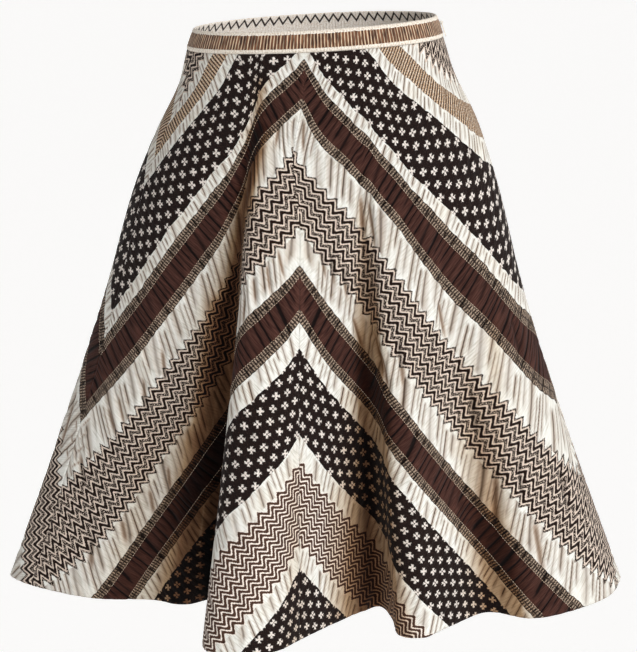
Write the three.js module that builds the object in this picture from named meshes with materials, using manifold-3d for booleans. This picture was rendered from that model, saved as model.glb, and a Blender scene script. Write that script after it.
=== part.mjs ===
// Midi skirt: four flared gores joined at centre front, centre back and both sides, a shaped
// waistband, and a concealed zip in the wearer's left side seam. The skirt stands open and filled
// out as it is worn, with deep flutes at the hem. Millimetres, +Z up, front towards -Y,
// origin at the centre of the waist opening.

import * as THREE from 'three';
import Module from 'manifold-3d';
import { mergeVertices } from 'three/addons/utils/BufferGeometryUtils.js';

const wasm = await Module();
wasm.setup();

// Driving sizes of the skirt
const LENGTH = 692;            // waist edge to hem, straight down
const CLOTH_WALL = 1.6;        // woven cloth with its seam allowance
const SEAM_GAP = 0.3;          // between two pieces that are sewn together
const BAND_HEIGHT = 24;
const BAND_PROUD = 0.8;        // the folded band stands out from the gores by this much
const BAND_ENDS_APART = 2;     // the band's two ends, on each side of the zip
const FOLD_EASE = 0.1;         // how softly a fold starts, as a part of its length
const FOLD_START_HIGHEST = 20; // no fold starts closer to the waist edge than this, or lower
const FOLD_START_LOWEST = 400; // than this, where the curve through the table would overshoot
const WAIST_RAISE = 1.5;       // the waist edge is tilted and dips at the front
const WAIST_TILT = 7.5;
const WAIST_FRONT_DIP = 6.5;

// Seams, as angles round the waist from straight ahead towards the wearer's left
const CENTRE_FRONT = -4.5;
const LEFT_SIDE = 90;
const CENTRE_BACK = 180;
const RIGHT_SIDE = 290;

// Sizes of the zip
const ZIP_GORE_ROWS = 5;        // the zip ends at this row of the gores' facets, 191 mm down
const ZIP_TAPE_WIDTH = 11;
const ZIP_TAPE_WALL = 0.9;
const ZIP_TAPES_APART = 2;
const TAPE_GAP = 0.5;          // behind the gores and the band
const ZIP_TOP = 3;             // below the waist edge
const SLIDER_DOWN = 10;        // the pull tab's pin, below the waist edge
const SLIDER_WIDTH = 6;
const SLIDER_HEIGHT = 9;
const SLIDER_DEPTH = 3;
const NECK_WALL = 1.2;
const EYE_OUT = 3.1;           // the eye's centre, out from the gores' face
const EYE_RADIUS = 1.2;
const EYE_RIM = 0.9;
const TAB_WIDTH = 5;
const TAB_LENGTH = 17;
const TAB_WALL = 1;
const TAB_SLOT_WIDTH = 2.4;
const TAB_SLOT_LENGTH = 3.2;
const TAB_PINCH_WIDTH = 0.5;   // the tab is pinched to this part of its width,
const TAB_PINCH_DOWN = 0.45;   // this part of its length down

// The skirt without its folds: half its width and depth at stations down from the waist edge
const STATIONS = [
  { down: 0, halfWidth: 139, halfFront: 98, halfBack: 98, middle: 2.5 },
  { down: 25, halfWidth: 148, halfFront: 102, halfBack: 103, middle: 2.5 },
  { down: 62, halfWidth: 159, halfFront: 108, halfBack: 112, middle: 4 },
  { down: 116, halfWidth: 186, halfFront: 120, halfBack: 128, middle: 4.5 },
  { down: 163, halfWidth: 205, halfFront: 128, halfBack: 138, middle: 3 },
  { down: 307, halfWidth: 248, halfFront: 142, halfBack: 146, middle: 1 },
  { down: 509, halfWidth: 316, halfFront: 150, halfBack: 150, middle: 0.5 },
  { down: LENGTH, halfWidth: 384, halfFront: 155, halfBack: 155, middle: 1 },
];

// The flutes: the angle each fold line leaves the waist at, its place in the hem's plan, how far
// below the waist edge it starts, and how it deepens from there (1 evenly, less than 1 early)
const FOLDS = [
  { name: 'right side seam', angle: -70, hemX: -352, hemY: -20, start: 60, growth: 1.2 },
  { name: 'right front face', angle: -50, hemX: -262, hemY: -62, start: 120, growth: 1.1 },
  { name: 'right front shoulder', angle: -36, hemX: -192, hemY: -66, start: 90, growth: 1 },
  { name: 'deep valley, near side', angle: -28.5, hemX: -150, hemY: -78, start: 70, growth: 0.9 },
  { name: 'deep valley', angle: -25, hemX: -116, hemY: -66, start: 60, growth: 0.85 },
  { name: 'deep valley, far wall', angle: -22.5, hemX: -117, hemY: -122, start: 60, growth: 0.85 },
  { name: 'great flute, right flank', angle: -19.5, hemX: -127, hemY: -184, start: 60, growth: 0.9 },
  { name: 'great flute, crest', angle: -13, hemX: -80, hemY: -221, start: 70, growth: 0.95 },
  { name: 'great flute, left flank', angle: -8, hemX: -36, hemY: -203, start: 90, growth: 1 },
  { name: 'centre front seam', angle: CENTRE_FRONT, hemX: -15, hemY: -178, start: 110, growth: 1 },
  { name: 'slope', angle: 4, hemX: 28, hemY: -130, start: 130, growth: 0.95 },
  { name: 'middle valley, near side', angle: 10.5, hemX: 60, hemY: -99, start: 130, growth: 0.9 },
  { name: 'middle valley', angle: 15, hemX: 84, hemY: -88, start: 110, growth: 0.85 },
  { name: 'middle valley, far wall', angle: 17.5, hemX: 94, hemY: -122, start: 120, growth: 0.9 },
  { name: 'second flute, right flank', angle: 20, hemX: 97, hemY: -158, start: 150, growth: 1 },
  { name: 'second flute, crest', angle: 25, hemX: 124, hemY: -173, start: 170, growth: 1 },
  { name: 'second flute, left flank', angle: 31.5, hemX: 156, hemY: -146, start: 180, growth: 1 },
  { name: 'outer valley', angle: 42, hemX: 206, hemY: -102, start: 170, growth: 0.9 },
  { name: 'third flute', angle: 54, hemX: 258, hemY: -119, start: 250, growth: 1 },
  { name: 'left front face', angle: 70, hemX: 330, hemY: -84, start: 250, growth: 1.1 },
  { name: 'left side seam', angle: LEFT_SIDE, hemX: 379, hemY: -22, start: 200, growth: 1.2 },
  { name: 'left back turn', angle: 99, hemX: 387, hemY: 20, start: 180, growth: 1.2 },
  { name: 'left back face', angle: 109, hemX: 350, hemY: 66, start: 150, growth: 1.1 },
  { name: 'left back valley', angle: 121, hemX: 276, hemY: 88, start: 150, growth: 1 },
  { name: 'left back flute', angle: 135, hemX: 205, hemY: 158, start: 150, growth: 1 },
  { name: 'inner left valley', angle: 150, hemX: 128, hemY: 100, start: 110, growth: 0.95 },
  { name: 'inner left flute', angle: 163, hemX: 74, hemY: 192, start: 110, growth: 1 },
  { name: 'centre back seam', angle: CENTRE_BACK, hemX: -6, hemY: 112, start: 110, growth: 1 },
  { name: 'inner right flute', angle: 196, hemX: -84, hemY: 188, start: 110, growth: 1 },
  { name: 'inner right valley', angle: 211, hemX: -150, hemY: 98, start: 110, growth: 0.95 },
  { name: 'right back flute', angle: 227, hemX: -226, hemY: 156, start: 150, growth: 1 },
  { name: 'right back valley', angle: 244, hemX: -296, hemY: 84, start: 150, growth: 1 },
  { name: 'right back face', angle: 266, hemX: -380, hemY: 30, start: 150, growth: 1.2 },
];

// Facets of each piece
const GORE_ACROSS = 31;
const GORE_DOWN = 20;
const BAND_ROUND = 56;
const BAND_DOWN = 2;
const EVEN_FACETS_AT = 0.8;    // a gore's facets are equally wide at this part of its length
const FINE_STEPS = 400;        // in which a gore's width is measured
const CURVE_STEPS = 8;         // facets of the zip's rounded outlines
const MERGE_WITHIN = 1e-4;     // corners of a solid closer than this are one

const FULL_TURN = 360;
const WRAPPED_ROWS = 3;        // rows of the fold table repeated at each end, so that it closes
const TURN_STEP = 0.2;         // degrees either side of a point, for the direction round the skirt
const FALL_STEP = 1;           // and above and below it, for the direction down the cloth
const HALF_DEGREE = 0.5;

const radians = THREE.MathUtils.degToRad;

// A smooth curve through a table's rows, read at one place; keyColumn rises from row to row
function readTable(rows, keyColumn, valueColumn, place) {
  let row = 0;
  while (row < rows.length - 2 && place > rows[row + 1][keyColumn]) row += 1;
  const slope = (i) => (rows[i + 1][valueColumn] - rows[i][valueColumn])
    / (rows[i + 1][keyColumn] - rows[i][keyColumn]);
  const span = (i) => rows[i + 1][keyColumn] - rows[i][keyColumn];
  const tangent = (i) => {
    if (i === 0) return slope(0);
    if (i === rows.length - 1) return slope(i - 1);
    return (slope(i - 1) * span(i) + slope(i) * span(i - 1)) / (span(i - 1) + span(i));
  };
  const length = span(row);
  const t = (place - rows[row][keyColumn]) / length;
  const far = 3 * t * t - 2 * t * t * t;
  return rows[row][valueColumn] * (1 - far) + rows[row + 1][valueColumn] * far
    + length * tangent(row) * (t * t * t - 2 * t * t + t)
    + length * tangent(row + 1) * (t * t * t - t * t);
}

// The plain section at one height, an ellipse with its own front and back depths
function plainPoint(angle, down) {
  const at = (column) => readTable(STATIONS, 'down', column, down);
  const ahead = Math.cos(radians(angle));
  const depth = ahead > 0 ? at('halfFront') : at('halfBack');
  return { x: at('middle') + at('halfWidth') * Math.sin(radians(angle)), y: -depth * ahead };
}

// The folds once round, with what each adds to the plain section at the hem
const foldsRound = FOLDS.map((fold) => {
  const plain = plainPoint(fold.angle, LENGTH);
  return { ...fold, addX: fold.hemX - plain.x, addY: fold.hemY - plain.y };
});
const turned = (fold, turn) => ({ ...fold, angle: fold.angle + turn });
const foldsWrapped = [
  ...foldsRound.slice(-WRAPPED_ROWS).map((fold) => turned(fold, -FULL_TURN)),
  ...foldsRound,
  ...foldsRound.slice(0, WRAPPED_ROWS).map((fold) => turned(fold, FULL_TURN)),
];

// Height of the waist edge at an angle
function waistEdge(angle) {
  const turn = radians(angle);
  return WAIST_RAISE + WAIST_TILT * Math.sin(turn) - WAIST_FRONT_DIP * (1 + Math.cos(turn)) / 2;
}

// A point of the cloth's outer face
function clothPoint(angle, down) {
  const first = FOLDS[0].angle;
  const round = first + THREE.MathUtils.euclideanModulo(angle - first, FULL_TURN);
  const fold = (column) => readTable(foldsWrapped, 'angle', column, round);
  const start = THREE.MathUtils.clamp(fold('start'), FOLD_START_HIGHEST, FOLD_START_LOWEST);
  const fallen = Math.max(0, (down - start) / (LENGTH - start));
  const eased = (Math.hypot(fallen, FOLD_EASE) - FOLD_EASE) / (Math.hypot(1, FOLD_EASE) - FOLD_EASE);
  const growth = eased ** fold('growth');
  const plain = plainPoint(round, down);
  return new THREE.Vector3(
    plain.x + growth * fold('addX'),
    plain.y + growth * fold('addY'),
    waistEdge(round) * (1 - down / LENGTH) - down,
  );
}

// The cloth's own directions at a point: out from its face, round the skirt and down it
function clothDirections(angle, down) {
  const round = clothPoint(angle + TURN_STEP, down)
    .sub(clothPoint(angle - TURN_STEP, down))
    .normalize();
  const fall = clothPoint(angle, down + FALL_STEP)
    .sub(clothPoint(angle, Math.max(down - FALL_STEP, 0)))
    .normalize();
  const out = new THREE.Vector3().crossVectors(fall, round).normalize();
  return { out, round, fall };
}

// A point moved out from the face, and along the ring
function movedPoint(angle, down, out, along = 0) {
  const directions = clothDirections(angle, down);
  return clothPoint(angle, down)
    .addScaledVector(directions.out, out)
    .addScaledVector(directions.round, along);
}

// Angles that part a stretch of the hem into equal lengths, so that deep folds get their facets
function evenAngles(from, to, count, down) {
  const lengths = [0];
  for (let i = 1; i <= FINE_STEPS; i += 1) {
    const near = clothPoint(from + (to - from) * (i - 1) / FINE_STEPS, down);
    const far = clothPoint(from + (to - from) * i / FINE_STEPS, down);
    lengths.push(lengths[i - 1] + near.distanceTo(far));
  }
  const angles = [];
  let i = 0;
  for (let k = 0; k <= count; k += 1) {
    const wanted = lengths[FINE_STEPS] * k / count;
    while (i < FINE_STEPS - 1 && lengths[i + 1] < wanted) i += 1;
    const part = (wanted - lengths[i]) / (lengths[i + 1] - lengths[i]);
    angles.push(from + (to - from) * (i + part) / FINE_STEPS);
  }
  return angles;
}

// A closed wall between two grids of points, outer face and inner face, rows going down
function wall(outer, inner) {
  const rows = outer.length;
  const columns = outer[0].length;
  const points = [...outer.flat(), ...inner.flat()];
  const outerAt = (row, column) => row * columns + column;
  const innerAt = (row, column) => rows * columns + row * columns + column;
  const triangles = [];
  const face = (a, b, c, d) => triangles.push(a, b, c, a, c, d);
  for (let row = 0; row < rows - 1; row += 1) {
    for (let column = 0; column < columns - 1; column += 1) {
      face(outerAt(row, column), outerAt(row + 1, column),
        outerAt(row + 1, column + 1), outerAt(row, column + 1));
      face(innerAt(row, column), innerAt(row, column + 1),
        innerAt(row + 1, column + 1), innerAt(row + 1, column));
    }
    face(outerAt(row, 0), innerAt(row, 0), innerAt(row + 1, 0), outerAt(row + 1, 0));
    face(outerAt(row, columns - 1), outerAt(row + 1, columns - 1),
      innerAt(row + 1, columns - 1), innerAt(row, columns - 1));
  }
  for (let column = 0; column < columns - 1; column += 1) {
    face(outerAt(0, column), outerAt(0, column + 1), innerAt(0, column + 1), innerAt(0, column));
    face(outerAt(rows - 1, column), innerAt(rows - 1, column),
      innerAt(rows - 1, column + 1), outerAt(rows - 1, column + 1));
  }
  const geometry = new THREE.BufferGeometry();
  geometry.setAttribute('position', new THREE.Float32BufferAttribute(
    points.flatMap((point) => [point.x, point.y, point.z]), 3,
  ));
  geometry.setIndex(triangles);
  geometry.computeVertexNormals();
  return geometry;
}

// A wall of cloth over some angles and depths; its first and last columns stand back from a seam
function clothWall({ angles, downs, out, thickness, endsBack }) {
  const grid = (offset) => downs.map((down) => angles.map((angle, column) => {
    let along = 0;
    if (column === 0) along = endsBack;
    if (column === angles.length - 1) along = -endsBack;
    return movedPoint(angle, down, offset, along);
  }));
  return wall(grid(out), grid(out - thickness));
}

const steps = (from, to, count) => Array.from(
  { length: count + 1 },
  (_, i) => from + (to - from) * i / count,
);
const bandRows = steps(0, BAND_HEIGHT, BAND_DOWN);
const goreRows = steps(BAND_HEIGHT + SEAM_GAP, LENGTH, GORE_DOWN);

function gore(from, to) {
  return clothWall({
    angles: evenAngles(from, to, GORE_ACROSS, LENGTH * EVEN_FACETS_AT),
    downs: goreRows,
    out: 0,
    thickness: CLOTH_WALL,
    endsBack: SEAM_GAP / 2,
  });
}

function waistband() {
  return clothWall({
    angles: steps(LEFT_SIDE, LEFT_SIDE + FULL_TURN, BAND_ROUND),
    downs: bandRows,
    out: BAND_PROUD,
    thickness: BAND_PROUD + CLOTH_WALL,
    endsBack: BAND_ENDS_APART / 2,
  });
}

// The angle that lies a given length round the skirt from another, at one height
function angleAlong(angle, down, along) {
  const perDegree = clothPoint(angle - HALF_DEGREE, down)
    .distanceTo(clothPoint(angle + HALF_DEGREE, down));
  return angle + along / perDegree;
}

// One half of the zip's tape, on the inner face beside the seam; side is -1 in front, 1 behind.
// Its rows are those of the band and the gores, so that it lies along their facets.
function zipTape(side) {
  const near = side * ZIP_TAPES_APART / 2;
  const far = near + side * ZIP_TAPE_WIDTH;
  const across = side < 0 ? [far, (far + near) / 2, near] : [near, (far + near) / 2, far];
  const downs = [ZIP_TOP, ...bandRows.slice(1, -1), ...goreRows.slice(0, ZIP_GORE_ROWS + 1)];
  const face = -(CLOTH_WALL + TAPE_GAP);
  const grid = (offset) => downs.map((down) => across.map(
    (along) => movedPoint(angleAlong(LEFT_SIDE, down, along), down, offset),
  ));
  return wall(grid(face), grid(face - ZIP_TAPE_WALL));
}

// The zip's slider and tab are drawn with x out from the cloth, y round the skirt and z up it,
// and the eye's centre at the origin
function zipPlace() {
  const { out, round, fall } = clothDirections(LEFT_SIDE, SLIDER_DOWN);
  const place = new THREE.Matrix4().makeBasis(out, round, fall.negate());
  place.setPosition(clothPoint(LEFT_SIDE, SLIDER_DOWN).addScaledVector(out, EYE_OUT));
  return place;
}

// An outline in x and z, given its thickness along y
function plate(shape, thickness) {
  const geometry = new THREE.ExtrudeGeometry(shape, {
    depth: thickness, bevelEnabled: false, curveSegments: CURVE_STEPS,
  });
  geometry.translate(0, 0, -thickness / 2);
  geometry.rotateX(Math.PI / 2);
  return geometry;
}

function solidOf(geometry) {
  const bare = new THREE.BufferGeometry();
  bare.setAttribute('position', geometry.getAttribute('position').clone());
  if (geometry.index) bare.setIndex(geometry.index.clone());
  const merged = mergeVertices(bare, MERGE_WITHIN);
  return new wasm.Manifold(new wasm.Mesh({
    numProp: 3,
    vertProperties: new Float32Array(merged.getAttribute('position').array),
    triVerts: new Uint32Array(merged.index.array),
  }));
}

function geometryOf(solid) {
  const mesh = solid.getMesh();
  const geometry = new THREE.BufferGeometry();
  geometry.setAttribute('position', new THREE.BufferAttribute(
    new Float32Array(mesh.vertProperties), 3,
  ));
  geometry.setIndex(new THREE.BufferAttribute(new Uint32Array(mesh.triVerts), 1));
  geometry.computeVertexNormals();
  return geometry;
}

// The slider: a body behind the tape, and a thin neck through the gap that ends in the eye
function zipSlider() {
  const bodyFront = -(EYE_OUT + CLOTH_WALL + TAPE_GAP + ZIP_TAPE_WALL + SEAM_GAP);
  const lug = EYE_RADIUS + EYE_RIM;
  const outline = new THREE.Shape();
  outline.moveTo(bodyFront - SLIDER_DEPTH / 2, -lug);
  outline.lineTo(0, -lug);
  outline.absarc(0, 0, lug, -Math.PI / 2, Math.PI / 2, false);
  outline.lineTo(bodyFront - SLIDER_DEPTH / 2, lug);
  outline.closePath();
  const eye = new THREE.Path();
  eye.absarc(0, 0, EYE_RADIUS, 0, Math.PI * 2, true);
  outline.holes.push(eye);
  const neck = plate(outline, NECK_WALL);
  const body = new THREE.BoxGeometry(SLIDER_DEPTH, SLIDER_WIDTH, SLIDER_HEIGHT);
  body.translate(bodyFront - SLIDER_DEPTH / 2, 0, 0);
  return geometryOf(solidOf(neck).add(solidOf(body)));
}

// The pull tab: a drop-shaped plate whose slotted top hangs in the eye by its bar
function zipTab() {
  const half = TAB_WIDTH / 2;
  const bar = TAB_WALL / 2;
  const pinch = half * TAB_PINCH_WIDTH;
  const pinchDown = -TAB_LENGTH * TAB_PINCH_DOWN;
  const outline = new THREE.Shape();
  outline.moveTo(-half, bar);
  outline.lineTo(-half, -TAB_SLOT_LENGTH);
  outline.quadraticCurveTo(-pinch, pinchDown, -half, -TAB_LENGTH + half);
  outline.absarc(0, -TAB_LENGTH + half, half, Math.PI, Math.PI * 2, false);
  outline.quadraticCurveTo(pinch, pinchDown, half, -TAB_SLOT_LENGTH);
  outline.lineTo(half, bar);
  outline.closePath();
  const slot = new THREE.Path();
  slot.moveTo(-TAB_SLOT_WIDTH / 2, -bar);
  slot.lineTo(TAB_SLOT_WIDTH / 2, -bar);
  slot.lineTo(TAB_SLOT_WIDTH / 2, -bar - TAB_SLOT_LENGTH);
  slot.lineTo(-TAB_SLOT_WIDTH / 2, -bar - TAB_SLOT_LENGTH);
  slot.closePath();
  outline.holes.push(slot);
  const geometry = plate(outline, TAB_WALL);
  geometry.rotateZ(Math.PI / 2);
  return geometry;
}

// Finishes
const paint = (color, roughness, metalness) => new THREE.MeshStandardMaterial({
  color, roughness, metalness,
});
const CLOTH = { color: '#b9a894', roughness: 0.85, metalness: 0 };
const BAND_CLOTH = { color: '#6b5140', roughness: 0.85, metalness: 0 };
const TAPE = { color: '#4a3a33', roughness: 0.8, metalness: 0 };
const ZIP_METAL = { color: '#57483d', roughness: 0.4, metalness: 0.9 };

const skirt = new THREE.Group();

function addPiece(name, geometry, { color, roughness, metalness }) {
  const mesh = new THREE.Mesh(geometry, paint(color, roughness, metalness));
  mesh.name = name;
  skirt.add(mesh);
  return mesh;
}

addPiece('gore_front_right', gore(RIGHT_SIDE - FULL_TURN, CENTRE_FRONT), CLOTH);
addPiece('gore_front_left', gore(CENTRE_FRONT, LEFT_SIDE), CLOTH);
addPiece('gore_back_left', gore(LEFT_SIDE, CENTRE_BACK), CLOTH);
addPiece('gore_back_right', gore(CENTRE_BACK, RIGHT_SIDE), CLOTH);
addPiece('waistband', waistband(), BAND_CLOTH);
addPiece('zip_tape_front', zipTape(-1), TAPE);
addPiece('zip_tape_back', zipTape(1), TAPE);

for (const [name, geometry] of [['zip_slider', zipSlider()], ['zip_pull_tab', zipTab()]]) {
  addPiece(name, geometry, ZIP_METAL).applyMatrix4(zipPlace());
}

export default skirt;
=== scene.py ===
import math

import bpy
import numpy as np
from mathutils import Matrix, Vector


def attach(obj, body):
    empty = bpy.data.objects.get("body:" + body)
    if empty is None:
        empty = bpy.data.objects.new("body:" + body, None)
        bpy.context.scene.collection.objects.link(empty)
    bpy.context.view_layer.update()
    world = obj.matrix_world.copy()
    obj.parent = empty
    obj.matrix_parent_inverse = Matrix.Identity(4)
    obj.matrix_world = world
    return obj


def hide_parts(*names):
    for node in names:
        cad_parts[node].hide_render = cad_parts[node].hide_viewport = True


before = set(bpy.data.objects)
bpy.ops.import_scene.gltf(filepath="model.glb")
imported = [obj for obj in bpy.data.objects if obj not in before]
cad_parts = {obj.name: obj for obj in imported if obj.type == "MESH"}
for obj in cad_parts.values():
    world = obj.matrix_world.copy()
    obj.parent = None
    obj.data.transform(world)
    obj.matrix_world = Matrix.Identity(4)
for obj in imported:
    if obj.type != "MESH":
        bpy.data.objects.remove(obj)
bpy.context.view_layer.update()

# The studio
# A white room and soft light for a skirt that stands as if it were worn. The camera is a little above
# the waist and looks down at the hem. The floor is well below, so that no shadow shows on it.
CAMERA_AT = (0.0065, -1.9, 0.12)
CAMERA_DOWN = 14.3           # degrees below the horizon
CAMERA_LENS = 89.7           # mm, on the 36 mm long side of the picture
FLOOR_BELOW = 2.6
FLOOR_SIZE = 160
SWEEP_PAPER = "#fbfaf9"
PAPER_GLOW = 0.3             # the paper lies on a light table
SKY_LIGHT = 0.12             # overhead
WALL_LIGHT = 1.1             # from the white walls
WALL_TOP, SKY_FROM = 0.1, 0.45  # how high the walls shine, and where the light overhead starts
KEY_FROM = (1.25, -1.25, 1.15)
KEY_STRENGTH = 2.85
KEY_SOFTNESS = 32            # degrees that the key light spans
FILL_AT = (-1.8, -1.6, 0.4)
FILL_TOWARDS = (0, 0, -0.35)
FILL_SIZE = 1.6
FILL_WATTS = 2


def colour(text):
    """An sRGB hex value as linear red, green, blue and alpha."""
    channels = [int(text[i:i + 2], 16) / 255 for i in (1, 3, 5)]
    return (*[c / 12.92 if c <= 0.04045 else ((c + 0.055) / 1.055) ** 2.4 for c in channels], 1)


def add(tree, kind, settings=None, out=0):
    """Adds a node to a material and gives back one of its outputs. A setting is one of its inputs, by
    name or number, or one of its properties. Its value is a plain one, a hex colour or an output to link."""
    node = tree.nodes.new("ShaderNode" + kind)
    for name, value in (settings or {}).items():
        if name == "stops":
            ramp = node.color_ramp
            while len(ramp.elements) > 1:
                ramp.elements.remove(ramp.elements[-1])
            ramp.elements[0].position, ramp.elements[0].color = value[0][0], colour(value[0][1])
            for position, shade in value[1:]:
                ramp.elements.new(position).color = colour(shade)
        elif name == "between":
            node.color_ramp.interpolation = value
        elif isinstance(name, str) and name not in node.inputs:
            setattr(node, name, value)
        elif isinstance(value, bpy.types.NodeSocket):
            tree.links.new(value, node.inputs[name])
        else:
            node.inputs[name].default_value = colour(value) if isinstance(value, str) else value
    return node.outputs[out] if node.outputs else None


def new_material(name):
    """An empty node material, and its tree."""
    material = bpy.data.materials.new(name)
    material.use_nodes = True
    material.node_tree.nodes.clear()
    return material, material.node_tree


def new_piece(name, points, faces):
    """A mesh object of some points, in metres, and faces."""
    mesh = bpy.data.meshes.new(name)
    mesh.from_pydata(points, [], faces)
    piece = bpy.data.objects.new(name, mesh)
    bpy.context.scene.collection.objects.link(piece)
    return piece


camera = bpy.data.objects.new("camera", bpy.data.cameras.new("camera"))
camera.data.lens = CAMERA_LENS
camera.location = CAMERA_AT
camera.rotation_euler = (math.radians(90 - CAMERA_DOWN), 0, 0)
bpy.context.scene.camera = camera
bpy.context.scene.view_settings.view_transform = "Standard"

key = bpy.data.objects.new("key_light", bpy.data.lights.new("key_light", "SUN"))
key.data.energy = KEY_STRENGTH
key.data.angle = math.radians(KEY_SOFTNESS)
key.rotation_euler = (-Vector(KEY_FROM)).to_track_quat("-Z", "Y").to_euler()
fill = bpy.data.objects.new("fill_light", bpy.data.lights.new("fill_light", "AREA"))
fill.data.energy = FILL_WATTS
fill.data.size = FILL_SIZE
fill.location = FILL_AT
fill.rotation_euler = (Vector(FILL_TOWARDS) - Vector(FILL_AT)).to_track_quat("-Z", "Y").to_euler()
for thing in (camera, key, fill):
    bpy.context.scene.collection.objects.link(thing)

world = bpy.data.worlds.new("white_room")
world.use_nodes = True
world.node_tree.nodes.clear()
sky_way = add(world.node_tree, "TexCoord", out="Generated")
sky_height = add(world.node_tree, "SeparateXYZ", {0: sky_way}, out="Z")
sky_shade = add(world.node_tree, "MapRange", {
    "Value": sky_height, "From Min": WALL_TOP, "From Max": SKY_FROM, "To Min": WALL_LIGHT,
    "To Max": SKY_LIGHT})
sky = add(world.node_tree, "Background", {"Color": sky_shade})
add(world.node_tree, "OutputWorld", {"Surface": sky})
bpy.context.scene.world = world

floor = new_piece("floor", [(FLOOR_SIZE / 2 * x, FLOOR_SIZE / 2 * y, 0)
                            for x, y in ((-1, -1), (1, -1), (1, 1), (-1, 1))], [(0, 1, 2, 3)])
floor.location.z = -FLOOR_BELOW
# White background paper, matt, on a light table that evens out its far side
paper, paper_tree = new_material("background_paper")
paper_finish = add(paper_tree, "BsdfPrincipled", {
    "Base Color": SWEEP_PAPER, "Roughness": 0.95, "Specular IOR Level": 0.2,
    "Emission Color": SWEEP_PAPER, "Emission Strength": PAPER_GLOW})
add(paper_tree, "OutputMaterial", {"Surface": paper_finish})
floor.data.materials.append(paper)

# The four gores
# Flared panels of a banded dobby-woven cotton, cut so that the bands meet in a chevron at centre front
# and centre back and in a V at the side seams. They are sewn together and hang from the waistband.
MM = 0.001                   # a millimetre, in metres
LENGTH = 692                 # mm, waist edge to hem
BAND_HEIGHT = 24             # of the waistband
BAND_CLEAR = 0.3             # between the waistband and the gores' upper edges
CENTRE_FRONT = -4.5          # degrees round from the front, towards the wearer's left
LEFT_SIDE = 90
CENTRE_BACK = 180
RIGHT_SIDE = 290
FULL_TURN = 360
WAIST_RAISE, WAIST_TILT, WAIST_FRONT_DIP = 1.5, 7.5, 6.5  # how the waist edge lies, in mm
FOLD_EASE = 0.1              # of the length, over which a fold starts to open
FOLD_START_HIGHEST, FOLD_START_LOWEST = 20, 400
# The skirt without its folds: half its width and depth at stations down from the waist edge
STATIONS = (
    # down, half_width, half_front, half_back, middle
    (0, 139, 98, 98, 2.5),
    (25, 148, 102, 103, 2.5),
    (62, 159, 108, 112, 4),
    (116, 186, 120, 128, 4.5),
    (163, 205, 128, 138, 3),
    (307, 248, 142, 146, 1),
    (509, 316, 150, 150, 0.5),
    (LENGTH, 384, 155, 155, 1),
)
# The flutes, as each fold line's angle at the waist, its place in the hem's plan, how far below the
# waist edge it starts, and how it deepens from there
FOLDS = (
    # angle, hem_x, hem_y, start, growth
    (-70, -352, -20, 60, 1.2),
    (-50, -262, -62, 120, 1.1),
    (-36, -192, -66, 90, 1),
    (-28.5, -150, -78, 70, 0.9),
    (-25, -116, -66, 60, 0.85),
    (-22.5, -117, -122, 60, 0.85),
    (-19.5, -127, -184, 60, 0.9),
    (-13, -80, -221, 70, 0.95),
    (-8, -36, -203, 90, 1),
    (CENTRE_FRONT, -15, -178, 110, 1),
    (4, 28, -130, 130, 0.95),
    (10.5, 60, -99, 130, 0.9),
    (15, 84, -88, 110, 0.85),
    (17.5, 94, -122, 120, 0.9),
    (20, 97, -158, 150, 1),
    (25, 124, -173, 170, 1),
    (31.5, 156, -146, 180, 1),
    (42, 206, -102, 170, 0.9),
    (54, 258, -119, 250, 1),
    (70, 330, -84, 250, 1.1),
    (LEFT_SIDE, 379, -22, 200, 1.2),
    (99, 387, 20, 180, 1.2),
    (109, 350, 66, 150, 1.1),
    (121, 276, 88, 150, 1),
    (135, 205, 158, 150, 1),
    (150, 128, 100, 110, 0.95),
    (163, 74, 192, 110, 1),
    (CENTRE_BACK, -6, 112, 110, 1),
    (196, -84, 188, 110, 1),
    (211, -150, 98, 110, 0.95),
    (227, -226, 156, 150, 1),
    (244, -296, 84, 150, 1),
    (266, -380, 30, 150, 1.2),
)
WRAPPED_ROWS = 3             # read again past each end of the table, where it closes on itself
# How far a band has fallen from its height at centre front: 0 there and 1 at the side seams
FALLS = (
    # angle, near_waist, near_hem
    (-70, 1, 1),
    (-50, 0.76, 0.86),
    (-36, 0.60, 0.68),
    (-28.5, 0.47, 0.567),
    (-25, 0.33, 0.50),
    (-22.5, 0.21, 0.41),
    (-19.5, 0.155, 0.31),
    (-13, 0.085, 0.173),
    (-8, 0.035, 0.077),
    (CENTRE_FRONT, 0, 0),
    (4, 0.18, 0.13),
    (10.5, 0.28, 0.22),
    (15, 0.36, 0.28),
    (17.5, 0.39, 0.306),
    (20, 0.45, 0.335),
    (25, 0.53, 0.405),
    (31.5, 0.65, 0.486),
    (42, 0.76, 0.629),
    (54, 0.875, 0.755),
    (70, 0.965, 0.908),
    (LEFT_SIDE, 1, 1),
)
# Above a quarter of the way down the bands fall by this much more, most at the waist
WAIST_FALLS = ((-70, 0.06), (-60, 0.04), (-50, 0), (-43, -0.03), (-36, -0.08), (-30, -0.03), (-25, 0.03),
               (-21, 0.045), (-12, 0.045), (-8, 0.03), (CENTRE_FRONT, 0), (2, 0.03), (10, 0.045), (90, 0.04))
WAIST_FALLS_TO = 0.28        # of the length
FALL_SHARE = 0.48            # the drop at a side seam, for each mm down it
FALL_ABOVE = 347             # and as if the seam ran on this far above the waist
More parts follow.
